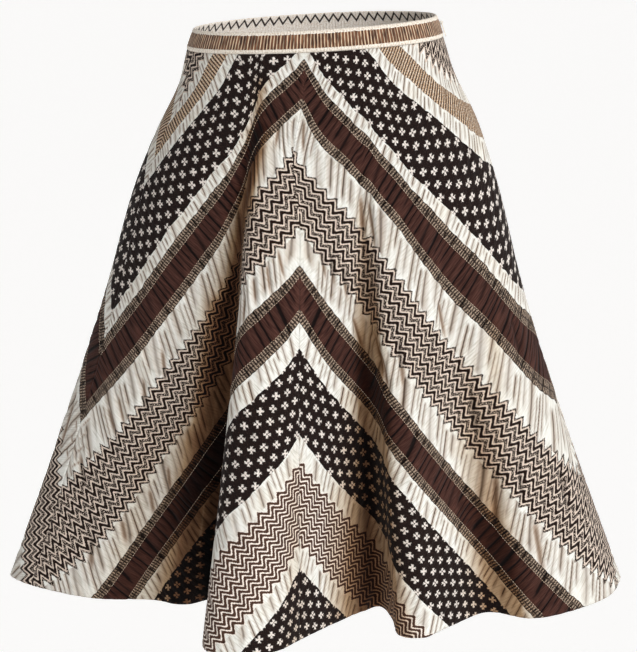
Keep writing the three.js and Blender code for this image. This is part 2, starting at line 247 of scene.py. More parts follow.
# The bands of the weave, by their height at centre front in mm below the waist edge, and the small
# puckers that each draws up in: their pitch, how much they lean towards the upright, their width and
# depth in mm, and how strong their creases' painted shade and dark relief line are
BANDS = (
    # from, to, weave, pitch, lean, width, depth, mark
    (-300, -211, "plain", 11, 0.5, 2.2, 0.9, 0.7),
    (-211, -128, "zigzag", 21, 0.4, 3.5, 0.7, 0.2),
    (-128, -113, "plain", 7, 0.45, 1.7, 0.9, 1.0),
    (-113, -88, "ribbed", 9, 0.1, 2.0, 0.4, 0.4),
    (-88, -69, "plain", 7, 0.45, 1.7, 0.9, 1.0),
    (-69, 14, "crosses", 24, 0.3, 4.0, 0.7, 0.2),
    (14, 30, "plain", 7.5, 0.45, 1.8, 1.0, 1.0),
    (30, 89, "edged", 9, 0.2, 3.7, 1.3, 1.4),
    (89, 135, "plain", 11, 0.8, 3.5, 1.8, 0.95),
    (135, 219, "zigzag", 21, 0.5, 4.0, 0.9, 0.3),
    (219, 260, "plain", 11, 0.8, 3.5, 1.8, 0.95),
    (260, 324, "edged", 9, 0.2, 3.7, 1.3, 1.4),
    (324, 352, "plain", 9, 0.5, 2.0, 1.0, 1.0),
    (352, 450, "crosses", 24, 0.3, 4.0, 0.7, 0.2),
    (450, 480, "plain", 10, 0.5, 2.3, 1.1, 0.9),
    (480, 577, "fine zigzag", 21, 0.5, 4.0, 0.8, 0.2),
    (577, 607, "plain", 10, 0.5, 2.3, 1.1, 0.9),
    (607, 707, "crosses", 24, 0.3, 4.0, 0.7, 0.2),
    (707, 800, "plain", 10, 0.5, 2.3, 1.1, 0.9),
)
# Two slow waves make the puckers' spacing uneven: pitches of shift, and turns for each mm along the
# band and down. Three steps, one for each pucker, make their depths, starts and lengths uneven.
PUCKER_WAVES = ((0.35, 0.131, 0.012, 0.0), (0.25, 0.073, 0.017, 1.9))
PUCKER_STEPS = (0.618, 0.755, 0.57)
PUCKER_LEAST = 0.4           # the shallowest, beside the deepest
PUCKER_START = (-0.25, 0.4)  # the highest start, in band widths, and how much lower it can be
PUCKER_LENGTH = (0.75, 0.75)  # the shortest, in band widths, and how much longer one can be
PUCKER_FADE = (0.12, 0.3)    # at its upper end and its lower one
# The longer creases: angle and height of both ends, width and depth in mm
CREASES = (
    # angle, down, end_angle, end_down, width, depth
    (-67, 505, -60, 560, 5, 1.6),
    (-61, 440, -54, 486, 4, 1.7),
    (-58, 424, -52, 470, 4, 1.4),
    (-50, 398, -46, 452, 4.5, 1.8),
    (-45, 360, -41, 416, 4, 1.6),
    (-48.5, 580, -45, 622, 5, 1.6),
    (-42, 540, -39, 584, 4.5, 1.7),
    (-38, 508, -36, 552, 4, 1.5),
    (-56, 600, -53, 668, 7, 1.6),
    (-18.5, 280, -17.6, 326, 3.5, 1.5),
    (-16.5, 262, -15, 300, 3, 1.5),
    (-13.5, 246, -11.6, 290, 3, 1.4),
    (-10.8, 232, -8.4, 274, 3, 1.2),
    (-12.2, 88, -12, 132, 3, 0.9),
    (-2.8, 92, -1, 138, 3, 0.9),
    (1.5, 236, 3.5, 280, 3, 1.1),
    (4.5, 236, 6, 292, 3.5, 1.4),
    (8, 250, 10, 310, 4, 1.5),
    (14.2, 176, 14.8, 236, 3.5, 1.8),
    (16.2, 180, 18.2, 250, 3.5, 2.0),
    (11, 312, 14.5, 374, 3.5, 1.9),
    (16.5, 332, 19.8, 396, 4, 2.2),
    (18.8, 354, 21.2, 410, 3.5, 1.8),
    (24, 330, 25.5, 420, 5, 1.2),
    (46, 408, 46.5, 482, 5, 1.6),
    (51, 500, 47, 610, 6, 1.9),
    (58.5, 494, 57, 560, 5, 1.6),
    (73.8, 516, 73.2, 596, 6, 1.6),
    (60, 566, 59.5, 656, 7, 1.7),
    (38, 300, 40, 360, 4, 1.1),
    (66, 330, 67, 400, 5, 1.1),
    (97, 430, 99, 520, 6, 1.5),
    (112, 380, 109, 470, 5, 1.7),
    (118, 540, 122, 640, 7, 1.8),
    (131, 300, 134, 390, 4, 1.4),
    (144, 430, 141, 520, 5, 1.8),
    (155, 250, 157, 330, 4, 1.5),
    (160, 500, 164, 610, 6, 1.6),
    (172, 330, 170, 400, 4, 1.4),
    (186, 250, 189, 330, 4, 1.5),
    (193, 480, 198, 580, 6, 1.7),
    (205, 340, 203, 430, 5, 1.6),
    (214, 560, 218, 650, 6, 1.6),
    (224, 280, 228, 360, 4, 1.3),
    (236, 420, 233, 510, 5, 1.8),
    (250, 530, 256, 620, 7, 1.7),
    (262, 360, 260, 440, 5, 1.5),
    (278, 440, 281, 530, 6, 1.6),
    (-65.5, 462, -69.2, 480, 2.4, 0.8),
    (-65, 479, -69.2, 497, 2.4, 0.9),
    (-64.5, 497, -69.2, 515, 2.6, 0.9),
    (-64.2, 516, -69.2, 534, 2.6, 0.8),
    (286, 470, 289.3, 487, 2.2, 0.8),
    (285.6, 488, 289.3, 505, 2.4, 0.9),
    (285.4, 507, 289.3, 523, 2.4, 0.8),
)
# The deep folds' shade, painted into the colour: angle and height of both ends, width in mm and strength
FOLD_SHADES = (
    # angle, down, end_angle, end_down, width, strength
    (-23, 45, -22, 110, 8, 0.45),
    (-21, 95, -22, 190, 13, 0.95),
    (-22, 150, -27.5, 330, 14, 0.9),
    (-27, 280, -29, 480, 20, 0.85),
    (-28.5, 430, -30, 692, 27, 0.88),
    (-32, 440, -34, 692, 22, 0.5),
    (14.5, 190, 16.5, 330, 7, 0.35),
    (16.5, 300, 20, 460, 11, 0.5),
    (19, 420, 22, 692, 11, 0.4),
    (57, 330, 52, 450, 12, 0.2),
    (52, 430, 48, 650, 15, 0.2),
    (149, 260, 151, 692, 22, 0.6),
    (211, 260, 210, 692, 22, 0.6),
    (244, 330, 245, 692, 18, 0.4),
    (121, 350, 121, 692, 18, 0.4),
)
FOLD_SHADE_START = (-0.05, 0.2)  # of its line's length, and how softly
FOLD_SHADE_END = (1.25, 0.25)
CREASE_DEEPENED = 1.5
CREASE_FADE = (0.25, 0.35)   # of its length, at its upper end and its lower one
CREASE_LIP = (2.2, 0.3)      # the cloth beside it stands up: widths away, and how high
CREASE_PAINTED_SHADE = (0.8, 0.7)     # its own shade: how dark, and how wide beside the trough
CLOTH_THICKNESS = 1.1
HEM_TURN = 16                # the hem is turned up and felled inside, this deep
HEM_EXTRA = 0.7              # its second layer
HEM_STEP = 1.5               # the height over which that layer starts
CENTRE_GROOVE = 0.1          # the cloth rolls in along a centre seam by this much,
SIDE_GROOVE = 0.4            # along a side seam by this much,
SEAM_ROLL = 1.6              # and both over this distance
SEAM_HOLDS = (6, 0.25)       # puckers are shallower this near a seam, down to this share
WAIST_HOLDS = 18             # and deepen over this distance below the waistband
# The centre front seam leans towards the wearer's right here, and two stretches of the bands sit higher
LEAN_DOWN, LEAN_REACH, LEAN_ROUND, LEAN_MOST = 130, 48, 10, 3.2
LIFTS = (
    # angle, down, reach_round, reach_down, lift
    (-8, 105, 9, 42, 6),
    (3, 290, 14, 50, 4),
)
GORE_COLUMNS = 206
GORE_ROWS = 222
EVEN_AT = 0.8                # the columns are equally wide at this part of the length
EVEN_SAMPLES = 1200
SOLVE_COLUMNS, SOLVE_ROWS = 27, 36
HOLLOW_FROM, HOLLOW_TO = 3, 60  # columns away that can shelter a place in a fold
HOLLOW_STEP = 2
HOLLOW_OPEN, HOLLOW_DEEP = 0.71, 0.32  # the open share where a fold's shade starts and is full


def through(places, values, at):
    """A smooth curve through a table's rows, read at some places."""
    places, values = np.asarray(places, float), np.asarray(values, float)
    span = np.diff(places)
    slope = np.diff(values) / span
    inner = (slope[:-1] * span[1:] + slope[1:] * span[:-1]) / (span[:-1] + span[1:])
    tangent = np.concatenate([slope[:1], inner, slope[-1:]])
    row = np.clip(np.searchsorted(places, at) - 1, 0, len(places) - 2)
    t = (at - places[row]) / span[row]
    far = 3 * t ** 2 - 2 * t ** 3
    return (values[row] * (1 - far) + values[row + 1] * far
            + span[row] * tangent[row] * (t ** 3 - 2 * t ** 2 + t)
            + span[row] * tangent[row + 1] * (t ** 3 - t ** 2))


def plain_section(angle, down):
    """The skirt without its folds: x and y at some angles and heights."""
    heights, *columns = np.transpose(STATIONS)
    half_width, half_front, half_back, middle = [through(heights, c, down) for c in columns]
    ahead = np.cos(np.radians(angle))
    depth = np.where(ahead > 0, half_front, half_back)
    return middle + half_width * np.sin(np.radians(angle)), -depth * ahead


def cloth(angle, down):
    """Points of the cloth's outer face, in mm."""
    angle, down = np.broadcast_arrays(np.asarray(angle, float), np.asarray(down, float))
    angles, hem_x, hem_y, start, growth = np.transpose(FOLDS)
    plain_x, plain_y = plain_section(angles, np.full(len(angles), LENGTH))
    keys = np.concatenate([angles[-WRAPPED_ROWS:] - FULL_TURN, angles, angles[:WRAPPED_ROWS] + FULL_TURN])
    turn = (angle - angles[0]) % FULL_TURN + angles[0]
    add_x, add_y, start, growth = [
        through(keys, np.concatenate([c[-WRAPPED_ROWS:], c, c[:WRAPPED_ROWS]]), turn)
        for c in (hem_x - plain_x, hem_y - plain_y, start, growth)]
    start = np.clip(start, FOLD_START_HIGHEST, FOLD_START_LOWEST)
    fallen = np.maximum(0, (down - start) / (LENGTH - start))
    eased = (np.hypot(fallen, FOLD_EASE) - FOLD_EASE) / (math.hypot(1, FOLD_EASE) - FOLD_EASE)
    x, y = plain_section(turn, down)
    around = np.radians(turn)
    waist_edge = WAIST_RAISE + WAIST_TILT * np.sin(around) - WAIST_FRONT_DIP * (1 + np.cos(around)) / 2
    z = waist_edge * (1 - down / LENGTH) - down
    deepened = eased ** growth
    return np.stack([x + deepened * add_x, y + deepened * add_y, z], -1)


def unit(vectors):
    """The same vectors, one long."""
    return vectors / np.linalg.norm(vectors, axis=-1, keepdims=True)


def outwards(points):
    """The direction out of a grid of points, whose rows go down and whose columns go round."""
    return unit(np.cross(np.gradient(points, axis=0), np.gradient(points, axis=1)))


def far_along(points, axis):
    """How far each point of a grid lies along its row or column, in mm."""
    steps = np.linalg.norm(np.diff(points, axis=axis), axis=-1)
    start = np.zeros_like(np.take(steps, [0], axis=axis))
    return np.concatenate([start, np.cumsum(steps, axis=axis)], axis=axis)


def even_columns(first, last, count):
    """Angles that part a stretch of the skirt into equal widths."""
    fine = np.linspace(first, last, EVEN_SAMPLES)
    reach = far_along(cloth(fine, LENGTH * EVEN_AT)[None], 1)[0]
    return np.interp(np.linspace(0, reach[-1], count), reach, fine)


def along_bands(points, level):
    """How far each point lies along its band, in mm: the smoothest grid of numbers that grows with the
    bands' own direction and not across it."""
    rows = np.linspace(0, points.shape[0] - 1, SOLVE_ROWS).round().astype(int)
    columns = np.linspace(0, points.shape[1] - 1, SOLVE_COLUMNS).round().astype(int)
    coarse = points[np.ix_(rows, columns)]
    heights = level[np.ix_(rows, columns)]
    down, across = np.gradient(coarse, axis=0), np.gradient(coarse, axis=1)
    level_down, level_across = np.gradient(heights)
    direction = unit(level_down[..., None] * across - level_across[..., None] * down)
    numbers = np.arange(heights.size).reshape(heights.shape)
    equations, wanted = [], []
    for near, far in ((np.s_[:-1, :], np.s_[1:, :]), (np.s_[:, :-1], np.s_[:, 1:])):
        for i, j, value in zip(numbers[near].ravel(), numbers[far].ravel(), (
                (coarse[far] - coarse[near]) * (direction[far] + direction[near]) / 2).sum(-1).ravel()):
            row = np.zeros(heights.size)
            row[i], row[j] = -1, 1
            equations.append(row)
            wanted.append(value)
    pinned = np.zeros(heights.size)
    pinned[0] = 1
    solved = np.linalg.lstsq(np.array([*equations, pinned]), np.array([*wanted, 0.0]), rcond=None)[0]
    solved = solved.reshape(heights.shape)
    wide = np.array([np.interp(np.arange(points.shape[1]), columns, line) for line in solved])
    return np.array([np.interp(np.arange(points.shape[0]), rows, line) for line in wide.T]).T


def shell(name, outer, inner, outer_map, inner_map, **values):
    """A closed piece of cloth between two grids of points, its outer and inner face, given in mm. A map
    says where each point of a face lies on the weave, and values are more numbers for each point."""
    rows, columns = outer.shape[:2]
    points = np.concatenate([outer.reshape(-1, 3), inner.reshape(-1, 3)]) * MM
    number = np.arange(rows * columns).reshape(rows, columns)
    behind = number + rows * columns

    def quads(grid, turned):
        corners = [grid[:-1, :-1], grid[1:, :-1], grid[1:, 1:], grid[:-1, 1:]]
        return np.stack(corners[::-1] if turned else corners, -1).reshape(-1, 4)

    def rim(front, back):
        return np.stack([front[:-1], back[:-1], back[1:], front[1:]], -1)

    faces = np.concatenate([
        quads(number, False), quads(behind, True),
        rim(number[:, 0], behind[:, 0]), rim(behind[:, -1], number[:, -1]),
        rim(behind[0], number[0]), rim(number[-1], behind[-1])])
    piece = new_piece(name, points.tolist(), faces.tolist())
    mesh = piece.data
    # Both big faces are smooth, and the cut sides are flat, so that no seam is shaded round its edge
    face_count = (rows - 1) * (columns - 1)
    smooth = np.ones(len(faces), bool)
    smooth[2 * face_count:2 * face_count + 2 * (rows - 1)] = False
    mesh.polygons.foreach_set("use_smooth", smooth)
    insides = np.zeros(len(faces), np.int32)
    insides[face_count:2 * face_count] = 1
    mesh.polygons.foreach_set("material_index", insides)
    for key, numbers in values.items():
        attribute = mesh.attributes.new(key, "FLOAT", "POINT")
        attribute.data.foreach_set("value", np.tile(numbers.ravel(), 2).astype(np.float32))
    corner_points = np.empty(len(mesh.loops), np.int32)
    mesh.loops.foreach_get("vertex_index", corner_points)
    both_maps = np.concatenate([outer_map.reshape(-1, 2), inner_map.reshape(-1, 2)])[corner_points]
    mesh.uv_layers.new(name="bands").data.foreach_set("uv", both_maps.astype(np.float32).ravel())
    return piece


# Dobby-woven cotton: an ivory ground with nearly black, brown and tan figures of thicker yarn, matt,
# with a faint nap. The figures follow the bands' own map, in mm along them and down from the waist.
ON, OFF = "#ffffff", "#000000"  # for the ramps that say where a figure is
IVORY = "#e2e1db"
IVORY_DULL = "#c0bdb2"
IVORY_CREAM = "#ddd3c0"
IVORY_SHADED = "#a9763f"
NEAR_BLACK = "#150c0a"
BLACK_FLECK = "#33231d"
CROSS_WHITE = "#ece5dd"
CROSS_DULL = "#cfc4bb"
BROWN = "#39201a"
BROWN_LIGHT = "#51332b"
LADDER_DARK = "#1e1310"
LADDER_LIGHT = "#b5a08c"
TAN = "#ab8866"
TAN_LIGHT = "#e6d8c4"
TAN_DARK = "#382014"
ZIGZAG_DARK = "#1c0f0a"
ZIGZAG_LIGHT = "#d3c2b3"
FINE_ZIGZAG_DARK = "#463026"
FINE_ZIGZAG_LIGHT = "#ecdfd3"
ROOT_TWO = math.sqrt(2)      # the bands lie at 45 degrees, so a mm across one is this far down
EDGE_WANDER = 4.0            # mm that the bands' edges stray, from one side to the other
PUCKER_CLEAR = (2.0, 7.0)    # mm from a centre seam, where puckers start and are whole
# How many widths from a pucker's middle its dark line, a dent in the relief with shadow painted in it, and
# then its softer painted shade, ends and is whole
PUCKER_CORE = (0.6, 0.12)
PUCKER_SOFT = (1.7, 0.2)
CROSS_ALONG, CROSS_ACROSS = 24.0, 15.0  # one repeat, along the band and across it
CROSS_REACH = 3.9            # from a cross's centre to its tips
CROSS_ARM = 0.9              # half an arm's width at its root
CROSS_FLARE = 0.1            # how much an arm widens on its way out
CROSS_FRAY = 4.0             # mm that its outline strays
ZIGZAG_STEP = 7.6            # each leg of the zigzag runs this far along the band
ZIGZAG_SHARP = 0.55          # 1 would be straight legs, and 0 a wave
ZIGZAG_FRAY = 4.4            # mm that the yarn strays, from one side to the other
ZIGZAG_LINES = 20.75         # from one thick line to the next, down the cloth
FINE_ZIGZAG_LINES = 8.8      # the same in the fine weave
LADDER_PITCH = 3.5           # from rung to rung
LADDER_WIDE = 0.22           # of the band's width, at each side
RIB_PITCH = 4.2              # of the tan band
# What the shade in a fold multiplies the cloth's colour by, from its open side to its bottom: the
# light there has met the ivory and brown cloth on the way in, so it is golden
HOLLOW_SHADES = ((0, ON), (0.2, "#f1e9df"), (0.5, "#bd9f80"), (0.75, "#87644a"), (1, "#5a3d2a"))
# Shade painted into the colour along puckers and creases: how much of it turns ivory golden, how much
# darkens, and the colour it darkens by
GOLDEN_SHARE = (0.6, 0.8)    # of a pucker's shade, and then of it or a crease, that turns ivory golden
SHADE_SHARE = 0.4            # of a pucker's shade that darkens the cloth
CREASE_SHADE_TINT = "#463527"
REVERSE_TINT = "#cfc2ae"
REVERSE_SHARE = 0.5          # of that tint on the reverse
THREAD_HEIGHT, PUCKER_DROP, CRINKLE_HEIGHT = 0.5, -1.2, 5.0  # beside the finest yarn


def banded_cotton(name, reverse):
    """The banded weave. Its reverse is the same weave seen from behind, paler."""
    material, tree = new_material(name)
    place = add(tree, "UVMap", {"uv_map": "bands"})
    along = add(tree, "SeparateXYZ", {0: place}, out="X")
    fall = along.node.outputs["Y"]
    crease = add(tree, "Attribute", {"attribute_name": "crease"}, out="Fac")
    hollow = add(tree, "Attribute", {"attribute_name": "hollow"}, out="Fac")

    # Yarn: threads 0.7 mm apart, drawn two or three times as coarse so that they show
    fine = add(tree, "TexNoise", {"noise_dimensions": "2D", "Vector": place, "Scale": 0.6, "Detail": 2.0,
                                  "Roughness": 0.7})
    threads = add(tree, "Mapping", {"Vector": place, "Rotation": (0, 0, math.radians(45)),
                                    "Scale": (0.8, 0.05, 1)})
    threads = add(tree, "TexNoise", {"noise_dimensions": "2D", "Vector": threads, "Scale": 1.0,
                                     "Detail": 2.0})
    broad = add(tree, "TexNoise", {"noise_dimensions": "2D", "Vector": place, "Scale": 0.02, "Detail": 2.0})
    wander = add(tree, "TexNoise", {"noise_dimensions": "2D", "Vector": place, "Scale": 0.09, "Detail": 2.0})

    # The bands' edges wander by a millimetre or so, as a puckered weave does
    level = add(tree, "Math", {"operation": "MULTIPLY_ADD", 0: wander, 1: EDGE_WANDER, 2: fall})
    level = add(tree, "Math", {"operation": "SUBTRACT", 0: level, 1: EDGE_WANDER / 2})

    # Numbers that each band has for itself, changed at every edge between two bands
    edges = [add(tree, "Math", {"operation": "GREATER_THAN", 0: level, 1: band[0]}) for band in BANDS[1:]]

    def by_band(numbers):
        """Three numbers for each band, as a vector that changes from band to band."""
        total = add(tree, "CombineXYZ", dict(enumerate(numbers[0])))
        for edge, before, after in zip(edges, numbers, numbers[1:]):
            if after != before:
                step = tuple(b - a for a, b in zip(before, after))
                total = add(tree, "VectorMath", {"operation": "MULTIPLY_ADD", 0: edge, 1: step, 2: total})
        parts = add(tree, "SeparateXYZ", {0: total}).node
        return [parts.outputs[axis] for axis in "XYZ"]

    starts, widths, leans = by_band([
        (start, end - start, lean / ROOT_TWO) for start, end, _, _, lean, *_ in BANDS])
    pitches, reaches, darks = by_band([
        (pitch, pitch / width, mark) for _, _, _, pitch, _, width, _, mark in BANDS])
    is_crosses, is_edged, is_ribbed = by_band([
        tuple(float(band[2] == weave) for weave in ("crosses", "edged", "ribbed")) for band in BANDS])
    share = add(tree, "Math", {"operation": "SUBTRACT", 0: level, 1: starts})
    share = add(tree, "Math", {"operation": "DIVIDE", 0: share, 1: widths})

    # Puckers, where the mesh has them too: the number of each, and how far from its line a place is
    slanted = add(tree, "Math", {"operation": "MULTIPLY", 0: leans, 1: fall})
    slanted = add(tree, "Math", {"operation": "SUBTRACT", 0: along, 1: slanted})
    phase = add(tree, "Math", {"operation": "DIVIDE", 0: slanted, 1: pitches})
    for swing, turn_along, turn_down, first in PUCKER_WAVES:
        wave = add(tree, "Math", {"operation": "MULTIPLY_ADD", 0: fall, 1: turn_down, 2: first})
        wave = add(tree, "Math", {"operation": "MULTIPLY_ADD", 0: slanted, 1: turn_along, 2: wave})
        wave = add(tree, "Math", {"operation": "SINE", 0: wave})
        phase = add(tree, "Math", {"operation": "MULTIPLY_ADD", 0: wave, 1: swing, 2: phase})
    count = add(tree, "Math", {"operation": "FLOOR", 0: phase})
    offset = add(tree, "Math", {"operation": "FRACT", 0: phase})
    offset = add(tree, "Math", {"operation": "SUBTRACT", 0: offset, 1: 0.5})
    offset = add(tree, "Math", {"operation": "MULTIPLY", 0: offset, 1: reaches})
    offset = add(tree, "Math", {"operation": "ABSOLUTE", 0: offset})

    # Each pucker's own depth, start and length, and so how strong it is here
    own = add(tree, "VectorMath", {"operation": "MULTIPLY", 0: count, 1: PUCKER_STEPS})
    own = add(tree, "VectorMath", {"operation": "FRACTION", 0: own})
    own = add(tree, "VectorMath", {"operation": "MULTIPLY_ADD", 0: own,
                                   1: (1 - PUCKER_LEAST, PUCKER_START[1], PUCKER_LENGTH[1]),
                                   2: (PUCKER_LEAST, PUCKER_START[0], PUCKER_LENGTH[0])})
    size = add(tree, "SeparateXYZ", {0: own}, out="X")
    below = add(tree, "Math", {"operation": "SUBTRACT", 0: share, 1: size.node.outputs["Y"]})
    above = add(tree, "Math", {"operation": "SUBTRACT", 0: size.node.outputs["Z"], 1: below})
    size = add(tree, "Math", {"operation": "MULTIPLY", 0: size, 1: darks})
    # None runs along a centre seam, which lies where the two ways on the map are alike
    across = add(tree, "Math", {"operation": "DIVIDE", 0: fall, 1: ROOT_TWO})
    from_seam = add(tree, "Math", {"operation": "SUBTRACT", 0: along, 1: across})
    from_seam = add(tree, "Math", {"operation": "ABSOLUTE", 0: from_seam})
    size = add(tree, "MapRange", {"Value": from_seam, "From Min": PUCKER_CLEAR[0],
                                  "From Max": PUCKER_CLEAR[1], "To Max": size})
    size = add(tree, "MapRange", {"Value": below, "From Max": PUCKER_FADE[0], "To Max": size})
    size = add(tree, "MapRange", {"Value": above, "From Max": PUCKER_FADE[1], "To Max": size})
    core, soft_shade = [
        add(tree, "MapRange", {"Value": offset, "From Min": end, "From Max": whole, "To Max": size})
        for end, whole in (PUCKER_CORE, PUCKER_SOFT)]

    # Plain ivory, with golden brown shade painted beside the puckers and creases
    ground = add(tree, "ValToRGB", {0: threads, "stops": [(0.45, IVORY), (0.75, IVORY_DULL)]})
    cream = add(tree, "MapRange", {"Value": broad, "From Min": 0.52, "From Max": 0.75, "To Max": 0.22})
    ground = add(tree, "Mix", {"data_type": "RGBA", 0: cream, 6: ground, 7: IVORY_CREAM}, out=2)
    golden_shade = add(tree, "Math", {"operation": "MULTIPLY", 0: soft_shade, 1: GOLDEN_SHARE[0]})
    golden_shade = add(tree, "Math", {"operation": "MAXIMUM", 0: golden_shade, 1: crease})
    golden_shade = add(tree, "Math", {"operation": "MULTIPLY", 0: golden_shade, 1: GOLDEN_SHARE[1]})
    ground = add(tree, "Mix", {"data_type": "RGBA", 0: golden_shade, 6: ground, 7: IVORY_SHADED}, out=2)

    # Crosses, in two sets half a repeat apart. Their arms lie at 45 degrees to the band
    on_weave = add(tree, "CombineXYZ", {0: along, 1: across})
    half_repeat = (CROSS_ALONG / 2, CROSS_ACROSS / 2, 1)
    shapes, centres = [], []
    for shift in ((0, 0, 0), half_repeat):
        corner = add(tree, "VectorMath", {"operation": "ADD", 0: on_weave, 1: shift})
        corner = add(tree, "VectorMath", {"operation": "WRAP", 0: corner, 1: half_repeat,
                                          2: tuple(-v for v in half_repeat)})
        corner = add(tree, "VectorMath", {"operation": "ABSOLUTE", 0: corner})
        sideways = add(tree, "SeparateXYZ", {0: corner}, out="X")
        downwards = sideways.node.outputs["Y"]
        outward = add(tree, "Math", {"operation": "ADD", 0: sideways, 1: downwards})
        tip = add(tree, "Math", {"operation": "SUBTRACT", 0: outward, 1: CROSS_REACH * ROOT_TWO})
        beside = add(tree, "Math", {"operation": "SUBTRACT", 0: sideways, 1: downwards})
        beside = add(tree, "Math", {"operation": "ABSOLUTE", 0: beside})
        beside = add(tree, "Math", {"operation": "SUBTRACT", 0: beside, 1: CROSS_ARM * ROOT_TWO})
        # An arm is a little wider towards its tip, and the tip is blunt
        beside = add(tree, "Math", {"operation": "MULTIPLY_ADD", 0: outward, 1: -CROSS_FLARE, 2: beside})
        shapes.append(add(tree, "Math", {"operation": "MAXIMUM", 0: beside, 1: tip}))
        centres.append(outward)
    shape = add(tree, "Math", {"operation": "MINIMUM", **dict(enumerate(shapes))})
    shape = add(tree, "Math", {"operation": "MULTIPLY_ADD", 0: fine, 1: CROSS_FRAY, 2: shape})
    # Some have a dark eye
    eye = add(tree, "Math", {"operation": "MINIMUM", **dict(enumerate(centres))})
    eye_shade = add(tree, "MapRange", {"Value": wander, "From Min": 0.36, "From Max": 0.52,
                                       "To Min": 1.0, "To Max": 0.1})
    eye = add(tree, "MapRange", {"Value": eye, "From Min": 0.9, "From Max": 1.8, "To Min": eye_shade})
    cross = add(tree, "MapRange", {"Value": shape, "From Min": CROSS_FRAY / 2 + 0.5,
                                   "From Max": CROSS_FRAY / 2 - 0.5, "To Max": eye})
    black = add(tree, "ValToRGB", {0: fine, "stops": [(0.5, NEAR_BLACK), (0.75, BLACK_FLECK)]})
    white = add(tree, "ValToRGB", {0: fine, "stops": [(0.3, CROSS_WHITE), (0.6, CROSS_DULL)]})
    crosses = add(tree, "Mix", {"data_type": "RGBA", 0: cross, 6: black, 7: white}, out=2)

    # Zigzags: thick dark lines with rounded turns, frayed, and a thin one midway in the bold weave
    leg = add(tree, "Math", {"operation": "PINGPONG", 0: along, 1: ZIGZAG_STEP})
    turn = add(tree, "Math", {"operation": "MULTIPLY", 0: along, 1: math.pi / ZIGZAG_STEP})
    turn = add(tree, "Math", {"operation": "COSINE", 0: turn})
    zigzag_level = add(tree, "Math", {"operation": "MULTIPLY_ADD", 0: leg,
                                      1: ZIGZAG_SHARP * ROOT_TWO, 2: fall})
    zigzag_level = add(tree, "Math", {"operation": "MULTIPLY_ADD", 0: turn,
                                      1: (ZIGZAG_SHARP - 1) * ZIGZAG_STEP / ROOT_TWO, 2: zigzag_level})
    zigzag_level = add(tree, "Math", {"operation": "MULTIPLY_ADD", 0: fine, 1: ZIGZAG_FRAY, 2: zigzag_level})
    zigzag_level = add(tree, "Math", {"operation": "SUBTRACT", 0: zigzag_level,
                                      1: ZIGZAG_SHARP * ZIGZAG_STEP / ROOT_TWO + ZIGZAG_FRAY / 2})

    def zigzag(repeat, start, dark, light, thick_marks, thin_marks):
        """Zigzag lines of one weave, from the ramps of its thick and thin lines."""
        part = add(tree, "Math", {"operation": "SUBTRACT", 0: zigzag_level, 1: start})
        part = add(tree, "Math", {"operation": "DIVIDE", 0: part, 1: repeat})
        part = add(tree, "Math", {"operation": "FRACT", 0: part})
        thick = add(tree, "ValToRGB", {0: part, "stops": thick_marks})
        thin = add(tree, "ValToRGB", {0: part, "stops": thin_marks})
        gaps = add(tree, "MapRange", {"Value": fine, "From Min": 0.36, "From Max": 0.44, "To Max": thin})
        line = add(tree, "Math", {"operation": "MAXIMUM", 0: thick, 1: gaps})
        return add(tree, "Mix", {"data_type": "RGBA", 0: line, 6: light, 7: dark}, out=2)

    first_line = {weave: start for start, _, weave, *_ in BANDS}
    bold = zigzag(ZIGZAG_LINES, first_line["zigzag"], ZIGZAG_DARK, ZIGZAG_LIGHT,
                  [(0, OFF), (0.32, OFF), (0.36, ON), (0.64, ON), (0.68, OFF)],
                  [(0, ON), (0.16, ON), (0.21, OFF), (0.79, OFF), (0.84, ON)])
    pale = zigzag(FINE_ZIGZAG_LINES, first_line["fine zigzag"], FINE_ZIGZAG_DARK, FINE_ZIGZAG_LIGHT,
                  [(0, OFF), (0.12, OFF), (0.2, ON), (0.8, ON), (0.88, OFF)], [(0, OFF)])

    # Brown band: plain in the middle, and a laddered edge of two rows on each side
    from_edge = add(tree, "Math", {"operation": "PINGPONG", 0: share, 1: 0.5})
    rung = add(tree, "Math", {"operation": "DIVIDE", 0: along, 1: LADDER_PITCH})
    rung = add(tree, "Math", {"operation": "FRACT", 0: rung})
    rung = add(tree, "ValToRGB", {0: rung, "stops": [(0, ON), (0.2, ON), (0.45, OFF), (0.8, OFF), (1, ON)]})
    row = add(tree, "Math", {"operation": "PINGPONG", 0: from_edge, 1: LADDER_WIDE / 4})
    rung = add(tree, "MapRange", {"Value": row, "From Min": 0.004, "From Max": 0.022, "To Max": rung})
    rung = add(tree, "MapRange", {"Value": fine, "From Min": 0.3, "From Max": 0.55, "To Max": rung})
    flecks = add(tree, "MapRange", {"Value": fine, "From Min": 0.56, "From Max": 0.72, "To Max": 0.7})
    flecks = add(tree, "Math", {"operation": "MAXIMUM", 0: rung, 1: flecks})
    ladder = add(tree, "Mix", {"data_type": "RGBA", 0: flecks, 6: LADDER_DARK, 7: LADDER_LIGHT}, out=2)
    brown = add(tree, "ValToRGB", {0: threads, "stops": [(0.35, BROWN), (0.7, BROWN_LIGHT)]})
    is_ladder = add(tree, "Math", {"operation": "LESS_THAN", 0: from_edge, 1: LADDER_WIDE})
    edged = add(tree, "Mix", {"data_type": "RGBA", 0: is_ladder, 6: brown, 7: ladder}, out=2)

    # Ribbed tan band, with dark and light picks across it
    rib = add(tree, "Math", {"operation": "DIVIDE", 0: along, 1: RIB_PITCH})
    rib = add(tree, "Math", {"operation": "FRACT", 0: rib})
    rib = add(tree, "ValToRGB", {0: rib, "stops": [
        (0, OFF), (0.25, OFF), (0.45, ON), (0.75, ON), (0.95, OFF)]})
    rib = add(tree, "MapRange", {"Value": fine, "From Min": 0.85, "From Max": 0.58, "To Max": rib})
    ribbed = add(tree, "ValToRGB", {0: fine, "stops": [(0.42, TAN), (0.66, TAN_LIGHT)]})
    ribbed = add(tree, "Mix", {"data_type": "RGBA", 0: rib, 6: ribbed, 7: TAN_DARK}, out=2)

